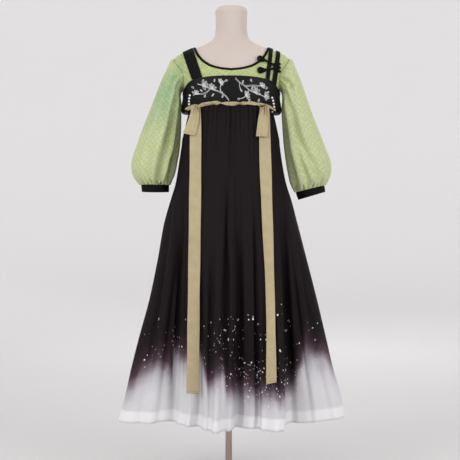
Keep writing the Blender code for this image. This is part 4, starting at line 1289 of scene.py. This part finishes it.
def paintSkirt(piece, name, points):
    # per-vertex dye and scatter, on the grid before it gets its wall
    x, z = points[..., 0], points[..., 2]
    side = -x if name == "back" else x
    table = np.array(dye[name])
    half = np.interp(side, table[:, 0], table[:, 1])
    reach = np.interp(side, table[:, 0], table[:, 2]) * 2.1
    fade = np.clip((half + dye["raised"] + reach / 2 - z) / reach, 0, 1)
    close = np.zeros_like(x)
    for across, height, wide, tall, most in dye["scatter"][name]:
        close += most * np.exp(-(((side - across) / wide) ** 2) - ((z - height) / tall) ** 2)
    for label, values in (("fade", fade), ("scatter", np.clip(close, 0, 0.9))):
        layer = piece.data.attributes.new(label, "FLOAT", "POINT")
        layer.data.foreach_set("value", values.astype(np.float32).ravel())


def skirtShape(name):
    back = name == "back"
    angles = skirtAngles(skirt["columns"][name], back)
    t = np.linspace(1, 0, skirt["rows"])
    points = skirtPoints(name, angles, t * (0.75 + 0.25 * t))
    turned = wrapped(angles - 180) if back else angles
    below = np.clip(points[-1:, :, 2] - points[..., 2], 0, None)
    push = np.zeros(points.shape[:2])
    for angle, depth, reach in skirt["gathers"][name]:
        grown = easeIn(below / 0.012) * easeIn(1 - below / reach)
        apart = np.abs(turned - angle)[None, :]
        push += 1.5 * depth * grown * (0.5 * bump(apart, 2.8, 1.7) - bump(apart, 0, 1.4))
    x, z = points[..., 0] * (-1 if back else 1), points[..., 2]
    for hemX, topX, topZ, width, depth in skirt["pleats"][name]:
        down = np.clip((topZ - z) / (topZ - skirt["hem"]), 0, None)
        line = topX + (hemX - topX) * down
        # the folds relax towards the hem
        grown = easeIn(down * 2.2) * (1 - 0.55 * easeIn((down - 0.62) / 0.3))
        push -= depth * grown * bump(x, line, width * (0.8 + 0.6 * down))
        push += 0.3 * depth * grown * bump(x, line + 2.4 * width, width * 1.5)
    points = points + normalsOf(points) * push[..., None]
    near = bump(points[..., 2], skirt["hem"], 0.10)
    for across, wide, lift in skirt["hemLifts"][name]:
        points[..., 2] += lift * near * bump(x, across, wide)
    return points


def makeSkirt():
    for name in ("front", "back"):
        points = skirtShape(name)
        piece = clothGrid(f"skirt_{name}_cloth", points, 0.0)
        paintSkirt(piece, name, points)
        thicken(piece, skirt["wall"])
        finish(
            piece, chiffon, [f"skirt_{name}"],
        )


makeSkirt()
print("skirt made")


# Ribbons: the twisted one under the chest, two long ones and two short tails

underbust = {
    "start": -66, "end": 62, "halfHeight": 0.0068, "lift": 0.0026, "puckers": 15, "stations": 420,
    "wall": 0.0009, "cut": (0.35, 0.016)
}


def makeUnderbust():
    along = np.linspace(0, 1, underbust["stations"] + 1)[None, :]
    side = np.linspace(-1, 1, 15)[:, None]
    angle = underbust["start"] + along * (underbust["end"] - underbust["start"])
    place = skirtTop(angle + 0 * side)
    away = unit(place * np.array([1, 1, 0]))
    # it rolls over itself unevenly, and is puckered in between
    roll = 0.75 * np.sin(2 * np.pi * 3.7 * along + 0.8) + 0.42 * np.sin(2 * np.pi * 8.3 * along + 2.0)
    uneven = 0.6 * np.sin(5.3 * along * 2 * np.pi) + 0.4 * np.sin(11.7 * along * 2 * np.pi + 1)
    pucker = 0.5 + 0.5 * np.sin(underbust["puckers"] * 2 * np.pi * along + side * 2.0 + 1.3 * uneven)
    half = underbust["halfHeight"] * (0.92 + 0.08 * np.sin(2 * np.pi * 6.1 * along))
    rise = half * side * np.cos(roll) + 0.0012 * np.sin(3.1 * 2 * np.pi * along + 0.6)
    out = underbust["lift"] + sideFlare(angle) + half * (side * np.sin(roll) + np.abs(np.sin(roll)))
    out = out + (1 - side * side) * (0.0010 + 0.0026 * pucker)
    points = place + away * out[..., None] + np.stack([0 * rise, 0 * rise, rise], axis=-1)
    piece = clothGrid("underbust_ribbon_cloth", points, underbust["wall"])
    finish(
        piece, ribbon, ["underbust_ribbon"],
    )


makeUnderbust()

hanging = {
    "long": {
        "right": (
            (1.2500, -0.1330, -0.0985), (1.1450, -0.1335, -0.0970), (0.9500, -0.1350, -0.0970),
            (0.6200, -0.1390, -0.1010), (0.3320, -0.1430, -0.1025)
        ),
        "left": (
            (1.2480, 0.0900, 0.1230), (1.1450, 0.0885, 0.1255), (0.9500, 0.0940, 0.1300),
            (0.6200, 0.1090, 0.1370), (0.3700, 0.1090, 0.1415)
        ),
    },
    "tail": {
        "right": ((1.2500, -0.1325, -0.0995), (1.2150, -0.1370, -0.1030), (1.1570, -0.1550, -0.1160)),
        "left": ((1.2480, 0.0895, 0.1225), (1.2150, 0.0860, 0.1210), (1.1500, 0.0780, 0.1150)),
    },
    # where each fold starts and ends across the tail, how far down it runs, and its depth
    "tailFolds": {
        "right": ((0.55, 0.95, 0.75, 0.0050), (0.30, 0.42, 0.45, 0.0042), (0.80, 1.05, 0.35, 0.0040)),
        "left": ((0.52, 0.80, 0.55, 0.0050), (0.80, 0.92, 0.90, 0.0048), (0.24, 0.16, 0.30, 0.0036)),
    },
    "cutWidth": {"right": (0.037, 0.038), "left": (0.034, 0.041)},  # long ribbon, tail
    "tailCut": 0.10, "longExtra": 0.02,  # the tail's cut length, and the long ribbon's cut beyond its drop
    "clearance": 0.0030, "overLong": 0.0062, "wall": 0.0009, "columns": 33,
}


def skirtDepths(points):
    # the front skirt's foremost point in each cell of a coarse net: across every 3 mm, up every 5 mm
    net = {}
    for x, y, z in points.reshape(-1, 3):
        cell = (round(x / 0.003), round(z / 0.005))
        net[cell] = max(net.get(cell, 0.0), -y)
    return net


def depthAt(net, x, height):
    best = 0.0
    for dx in (-2, -1, 0, 1, 2):
        for dz in (-2, -1, 0, 1, 2):
            best = max(best, net.get((round(x / 0.003) + dx, round(height / 0.005) + dz), 0.0))
    return best


def ribbonPoints(table, rows, net, lift, seed, under=None, pinched=0.10):
    heights = np.linspace(table[0][0], table[-1][0], rows)
    leftAt, rightAt = (curveThrough(table[::-1], column) for column in (1, 2))
    depths, depth = [], 0.0
    for height in heights:
        left, right = float(leftAt(height)), float(rightAt(height))
        depth = max(depth, *(depthAt(net, x, height) for x in np.linspace(left, right, 7)))
        depths.append(depth)
    smooth = np.convolve(np.pad(depths, 4, mode="edge"), np.ones(9) / 9, mode="valid")
    depths = np.maximum(depths, smooth)
    if under is not None:  # a tail lies on its long ribbon
        depths = np.maximum(depths, np.interp(-heights, -under[0], under[1]))
    share = np.linspace(0, 1, hanging["columns"])[None, :]
    left, right = leftAt(heights)[:, None], rightAt(heights)[:, None]
    down = (table[0][0] - heights)[:, None]
    pinch = 1 - pinched * np.exp(-((down / 0.026) ** 2))
    x = (left + right) / 2 + (share - 0.5) * (right - left) * pinch
    x = x + 0.0007 * np.sin(down * 31 + seed) * (share - 0.5)
    gathered = np.exp(-down / 0.035)
    out = 0.0024 * gathered * np.sin(
        share * 2 * np.pi * 2.6 + seed
    ) + 0.0010 * np.sin(share * np.pi) * easeIn(down / 0.1)
    out += 0.0007 * np.sin(down * 23 + share * 2 + seed) * easeIn(down / 0.08)
    y = -(depths[:, None] + lift + np.maximum(out, -0.0022))
    points = np.stack([x, y, heights[:, None] + 0 * share], axis=-1)
    return points[::-1], (heights, depths)


def makeRibbons():
    net = skirtDepths(skirtShape("front"))
    for key, side in (("right", -1), ("left", 1)):
        table = hanging["long"][key]
        points, under = ribbonPoints(table, 240, net, hanging["clearance"], 1.3 * side)
        slant = (-0.0030 if side > 0 else 0.0004) * np.exp(-(points[..., 2] - points[0, 0, 2]) / 0.012)
        points[..., 2] += slant * (np.linspace(-1, 1, hanging["columns"])[None, :] * -1)
        piece = clothGrid(f"ribbon_{key}_long_cloth", points, hanging["wall"])
        finish(
            piece, ribbon, [f"ribbon_{key}_long"],
        )
        tail = hanging["tail"][key]
        points, _ = ribbonPoints(
            tail, 80, net, hanging["clearance"] + hanging["overLong"], 2.1 * side, under, 0.34
        )
        # two soft folds run down from where the tail is gathered
        share = np.linspace(0, 1, hanging["columns"])[None, :]
        down = (tail[0][0] - points[..., 2]) / (tail[0][0] - tail[-1][0])
        for start, end, reach, depth in hanging["tailFolds"][key]:
            line = start + (end - start) * down
            grown = easeIn(1 - down / reach)
            points[..., 1] += depth * grown * bump(share, line, 0.075 + 0.05 * down)
            points[..., 1] -= depth * 0.7 * grown * bump(share, line + 0.15, 0.09)
        tilt = (0.0045 if side < 0 else 0.001) * easeIn(
            (tail[0][0] - points[..., 2]) / (tail[0][0] - tail[-1][0])
        )
        points[..., 2] += tilt * np.linspace(1, -1, hanging["columns"])[None, :]
        piece = clothGrid(f"ribbon_{key}_tail_cloth", points, hanging["wall"])
        finish(
            piece, ribbon, [f"ribbon_{key}_tail"],
        )


makeRibbons()
print("ribbons made")


# Frog closures, embroidery and pearls

frogs = {
    "upper": {
        "petal": (0.0955, 1.4050), "tilt": -0.25,
        "bar": ((0.1035, 1.4030), (0.1130, 1.3975), (0.1210, 1.3935), (0.1320, 1.3890)),
        "knot": (0.1438, 1.3880)
    },
    "lower": {
        "petal": (0.0955, 1.3685), "tilt": 0.10,
        "bar": ((0.1035, 1.3690), (0.1130, 1.3710), (0.1210, 1.3730), (0.1320, 1.3752)),
        "knot": (0.1438, 1.3765)
    },
    "cord": 0.0018, "out": 0.0066,
}


def onBlouse(x, height, out):
    return onBody(
        angleAt(np.asarray(x), np.asarray(height)), np.asarray(height), blouseOut(np.asarray(height)) + out
    )


def loopPath(x, z, wide, tall, tilt, out, taper=0.0, count=16):
    # a closed loop, narrower towards its +X end by the taper
    turn = np.linspace(0, 2 * math.pi, count)
    across, rise = wide * np.cos(turn), tall * np.sin(turn) * (1 - taper * (0.5 + 0.5 * np.cos(turn)))
    px = x + across * math.cos(tilt) - rise * math.sin(tilt)
    pz = z + across * math.sin(tilt) + rise * math.cos(tilt)
    return [onBlouse(a, b, out) for a, b in zip(px, pz)]


def makeFrogs():
    for name in ("upper", "lower"):
        one = frogs[name]
        paths = []
        x, z = one["petal"]
        for ring in (1.0, 0.72, 0.44, 0.16):  # a petal of coiled cord
            paths.append(
                loopPath(
                    x + 0.0005, z - 0.0015, 0.0135 * ring, 0.0130 * ring, one["tilt"],
                    frogs["out"] - 0.0016, 0.72
                )
            )
        for offset in (-0.0016, 0.0016):
            paths.append([onBlouse(a, b + offset, frogs["out"] - 0.0010) for a, b in one["bar"]])
        loops = cordAlong(f"frog_{name}_petal", paths, frogs["cord"], sides=2)
        finish(loops, trim, [f"frog_{name}_loop"])
        x, z = one["knot"]
        paths = []
        for ring in (1.0, 0.62, 0.24):  # two ears and the knot's crossed cords
            for way in (-1, 1):
                paths.append(
                    loopPath(
                        x + 0.0052, z + 0.0040 * way, 0.0068 * ring, 0.0040 * ring, 0.5 * way + math.pi,
                        frogs["out"] - 0.0016, 0.5
                    )
                )
            paths.append(loopPath(x - 0.0052, z, 0.0062 * ring, 0.0058 * ring, 0.0, frogs["out"] - 0.0006))
        for tilt in (0.2, 1.3, 2.4):
            paths.append(loopPath(x - 0.0052, z, 0.0056, 0.0022, tilt, frogs["out"] + 0.0012))
        knot = cordAlong(f"frog_{name}_button", paths, frogs["cord"], sides=2)
        finish(knot, trim, [f"frog_{name}_knot"])


makeFrogs()
print("frogs made")

embroidery = {
    "thread": 0.00062, "lift": 0.0005,
    # sprigs of slim leaves: x, z, length, turn
    "sprigs": (
        (-0.0930, 1.3180, 0.0185, 12), (-0.0640, 1.3060, 0.0160, 50), (-0.1160, 1.2920, 0.0140, 75),
        (-0.0370, 1.3240, 0.0125, 30),
        (0.0460, 1.2830, 0.0150, 20), (0.0760, 1.2930, 0.0190, 64), (0.1080, 1.2860, 0.0150, 5),
        (0.0960, 1.3160, 0.0130, 40),
    ),
    # buds: x, z, length, turn
    "buds": (
        (-0.0200, 1.3290, 0.0080, 20), (-0.0330, 1.2960, 0.0075, 300), (-0.1230, 1.3120, 0.0080, 130),
        (-0.0840, 1.2870, 0.0075, 250),
        (0.0270, 1.2740, 0.0080, 200), (0.0330, 1.2960, 0.0070, 120), (0.1120, 1.3080, 0.0075, 60),
        (0.0640, 1.3290, 0.0080, 110),
    ),
    # twigs, each through a few places
    "twigs": (
        (
            (-0.0080, 1.2680), (-0.0170, 1.2820), (-0.0330, 1.2930), (-0.0480, 1.2990), (-0.0680, 1.3060),
            (-0.0900, 1.3180), (-0.1100, 1.3240)
        ),
        ((-0.0330, 1.2930), (-0.0370, 1.3060), (-0.0340, 1.3170), (-0.0220, 1.3280)),
        ((-0.0680, 1.3060), (-0.0780, 1.2940), (-0.0950, 1.2900), (-0.1130, 1.2940), (-0.1240, 1.2900)),
        (
            (0.0120, 1.3380), (0.0260, 1.3230), (0.0450, 1.3130), (0.0560, 1.3010), (0.0740, 1.2930),
            (0.0980, 1.2880), (0.1180, 1.2780)
        ),
        ((0.0450, 1.3130), (0.0660, 1.3170), (0.0880, 1.3150), (0.1080, 1.3200)),
        ((0.0560, 1.3010), (0.0470, 1.2890), (0.0420, 1.2770), (0.0300, 1.2740)),
        ((0.0260, 1.3230), (0.0240, 1.3110), (0.0310, 1.3000)),
    ),
    # leaves: x, z, length, turn
    "leaves": (
        (-0.0260, 1.2870, 0.0110, 250), (-0.0560, 1.2900, 0.0105, 230), (-0.1010, 1.3050, 0.0095, 320),
        (-0.0550, 1.3270, 0.0095, 80),
        (0.0350, 1.3210, 0.0105, 75), (0.0650, 1.3060, 0.0095, 60), (0.0900, 1.2760, 0.0105, 250),
        (0.1140, 1.2960, 0.0095, 30), (0.0600, 1.2740, 0.0100, 240),
    ),
}


def onBand(x, z, lift):
    # a place on the chest band's outer side
    angle = 0.0
    for _ in range(6):
        bottom, top = float(bandBottom(angle)), float(bandTop(angle))
        share = (z - bottom) / (top - bottom)
        place = bandPoint(np.array(angle), np.array(share))
        angle += math.degrees(
            (x - place[0]) / max(0.03, math.hypot(place[0], place[1]) * math.cos(math.radians(angle)))
        )
    return place + unit(bandPoint(np.array(angle), np.array(share)) * np.array([1, 1, 0])) * lift


def leafPath(x, z, length, wide, turn):
    t = np.linspace(0, 2 * math.pi, 11)
    along, across = length * (0.52 - 0.48 * np.cos(t)), wide * np.sin(t) * (0.75 + 0.25 * np.sin(t / 2))
    c, s = math.cos(math.radians(turn)), math.sin(math.radians(turn))
    return [onBand(x + a * c - b * s, z + a * s + b * c, embroidery["lift"]) for a, b in zip(along, across)]


def makeEmbroidery():
    random.seed(11)
    paths, lift = [], embroidery["lift"]
    for x, z, size, turn in embroidery["sprigs"]:
        for leaf in range(-2, 3):  # a fan of five slim leaves
            way = turn + 34 * leaf + random.uniform(-6, 6)
            length = size * random.uniform(0.9, 1.08)
            paths.append(leafPath(x, z, length, length * 0.19, way))
            c, s = math.cos(math.radians(way)), math.sin(math.radians(way))
            # midrib
            paths.append(
                [onBand(x + r * c, z + r * s, lift) for r in (0.06 * length, 0.50 * length, 0.92 * length)]
            )
    for x, z, length, turn in embroidery["buds"]:
        paths.append(leafPath(x, z, length, length * 0.38, turn))
        c, s = math.cos(math.radians(turn)), math.sin(math.radians(turn))
        paths.append(
            [onBand(x + r * c, z + r * s, lift) for r in (-0.3 * length, 0.3 * length, 0.7 * length)]
        )
    for x, z, length, turn in embroidery["leaves"]:
        paths.append(leafPath(x, z, length, length * 0.22, turn))
        c, s = math.cos(math.radians(turn)), math.sin(math.radians(turn))
        paths.append([onBand(x + r * c, z + r * s, lift) for r in (0.0, 0.5 * length, 0.95 * length)])
    for twig in embroidery["twigs"]:
        for way in (-1, 1):  # drawn in outline, thinner towards its tip
            thick = np.linspace(0.0022, 0.0006, len(twig))
            edge = []
            for (x, z), half in zip(twig, thick):
                edge.append(onBand(x, z + way * half + random.uniform(-0.0006, 0.0006), lift))
            paths.append(edge)
    piece = cordAlong("band_embroidery", paths, embroidery["thread"], sides=1)
    finish(piece, thread)


makeEmbroidery()
print("embroidery made")

pearls = {
    "radius": 0.0034,
    "strings": (
        ((-0.1330, 1.2900), (-0.1348, 1.2815), (-0.1355, 1.2730), (-0.1350, 1.2645)),
        (
            (0.1300, 1.2830), (0.1330, 1.2745), (0.1350, 1.2660), (0.1355, 1.2575), (0.1345, 1.2490),
            (0.1315, 1.2415)
        ),
    ),
}


def makePearls():
    bpy.ops.object.select_all(action="DESELECT")
    made = []
    for x, z in (place for string in pearls["strings"] for place in string):
        place = onBand(x, z, pearls["radius"] * 0.9)
        bpy.ops.mesh.primitive_uv_sphere_add(
            segments=20, ring_count=12, radius=pearls["radius"],
            location=(place[0] + formShift, place[1], place[2])
        )
        bpy.ops.object.transform_apply(location=True, rotation=True, scale=True)
        made.append(bpy.context.object)
    for one in made:
        one.select_set(True)
    bpy.context.view_layer.objects.active = made[0]
    bpy.ops.object.join()
    piece = bpy.context.object
    piece.name = "band_pearls"
    bpy.ops.object.shade_smooth()
    finish(piece, pearl)
    paths = []
    for string in pearls["strings"]:
        paths.append([onBand(x, z, 0.0012) for x, z in string])
    finish(cordAlong("pearl_thread", paths, 0.0004, sides=1), thread)


makePearls()
print("pearls made")


# Studio: pale floor and backdrop, soft light

studio = {
    # the floor colour is the grey of a painted shadow round the stand
    "floorRadius": 4.0, "sweep": 2.4, "wall": 2.0, "floor": "#cfcdce", "paper": "#f4f3f4", "key": 55.0,
    "fill": 47.0, "top": 18.0, "back": 34.0, "world": 0.88
}


def makeStudio():
    # a round paper cove, so that every side has the same plain backdrop
    bpy.ops.object.select_all(action="DESELECT")
    bpy.ops.mesh.primitive_circle_add(vertices=128, radius=studio["floorRadius"], fill_type="NGON")
    paper = bpy.context.object
    paper.name = "paper_cove"
    steps, turn = 14, math.pi / 28
    profile = [
        (
            studio["sweep"] * (math.sin((i + 1) * turn) - math.sin(i * turn)),
            studio["sweep"] * (math.cos(i * turn) - math.cos((i + 1) * turn))
        ) for i in range(steps)
    ]
    bpy.ops.object.mode_set(mode="EDIT")
    bpy.ops.mesh.select_mode(type="EDGE")
    bpy.ops.mesh.select_all(action="SELECT")
    for out, rise in [*profile, (0.0, studio["wall"])]:
        bpy.ops.mesh.extrude_edges_move()
        share = (radiusNow(paper) + out) / radiusNow(paper)
        bpy.ops.transform.resize(value=(share, share, 1))
        bpy.ops.transform.translate(value=(0, 0, rise))
    bpy.ops.mesh.select_mode(type="VERT")
    bpy.ops.object.mode_set(mode="OBJECT")
    bpy.ops.object.shade_smooth_by_angle(angle=math.radians(30))
    made, tree, shader = newMaterial(
        "matt backdrop paper",
        {"Base Color": hexColour(studio["paper"]), "Roughness": 0.95, "Specular IOR Level": 0.1}
    )
    place = addNode(tree, "TexCoord", {}, {}, "Object")
    away = addNode(tree, "VectorMath", {"operation": "LENGTH"}, {0: place}, "Value")
    # painted shadow: greyer round the object, standing in for its soft shadow on the floor, and paler further
    # out
    paintedShadowFade = addNode(tree, "MapRange", {"interpolation_type": "SMOOTHSTEP"}, {0: away, 1: 1.2, 2: 8.0})
    colourBetween(tree, shader, paintedShadowFade, studio["floor"], studio["paper"])
    paper.data.materials.append(made)
    for name, place, size, power in (
        ("key_light", (-2.6, -2.7, 2.1), 1.8, studio["key"]),
        ("fill_light", (2.7, -2.6, 1.9), 1.8, studio["fill"]),
        ("top_light", (0.0, 0.6, 4.6), 5.0, studio["top"]),
        ("back_light", (0.6, 3.7, 2.6), 2.6, studio["back"]),
    ):
        bpy.ops.object.light_add(type="AREA", location=place)
        light = bpy.context.object
        light.name = name
        light.visible_camera = False
        light.data.size = size
        light.data.energy = power
        aim = np.array([0, 0, 0.9]) - np.array(place)
        light.rotation_euler = (
            math.atan2(math.hypot(aim[0], aim[1]), -aim[2]), 0, math.atan2(-aim[0], aim[1])
        )
    world = bpy.data.worlds.new("studio")
    bpy.context.scene.world = world
    world.use_nodes = True
    world.node_tree.nodes["Background"].inputs["Color"].default_value = hexColour("#f8f7f6")
    world.node_tree.nodes["Background"].inputs["Strength"].default_value = studio["world"]


makeStudio()
print("studio made")
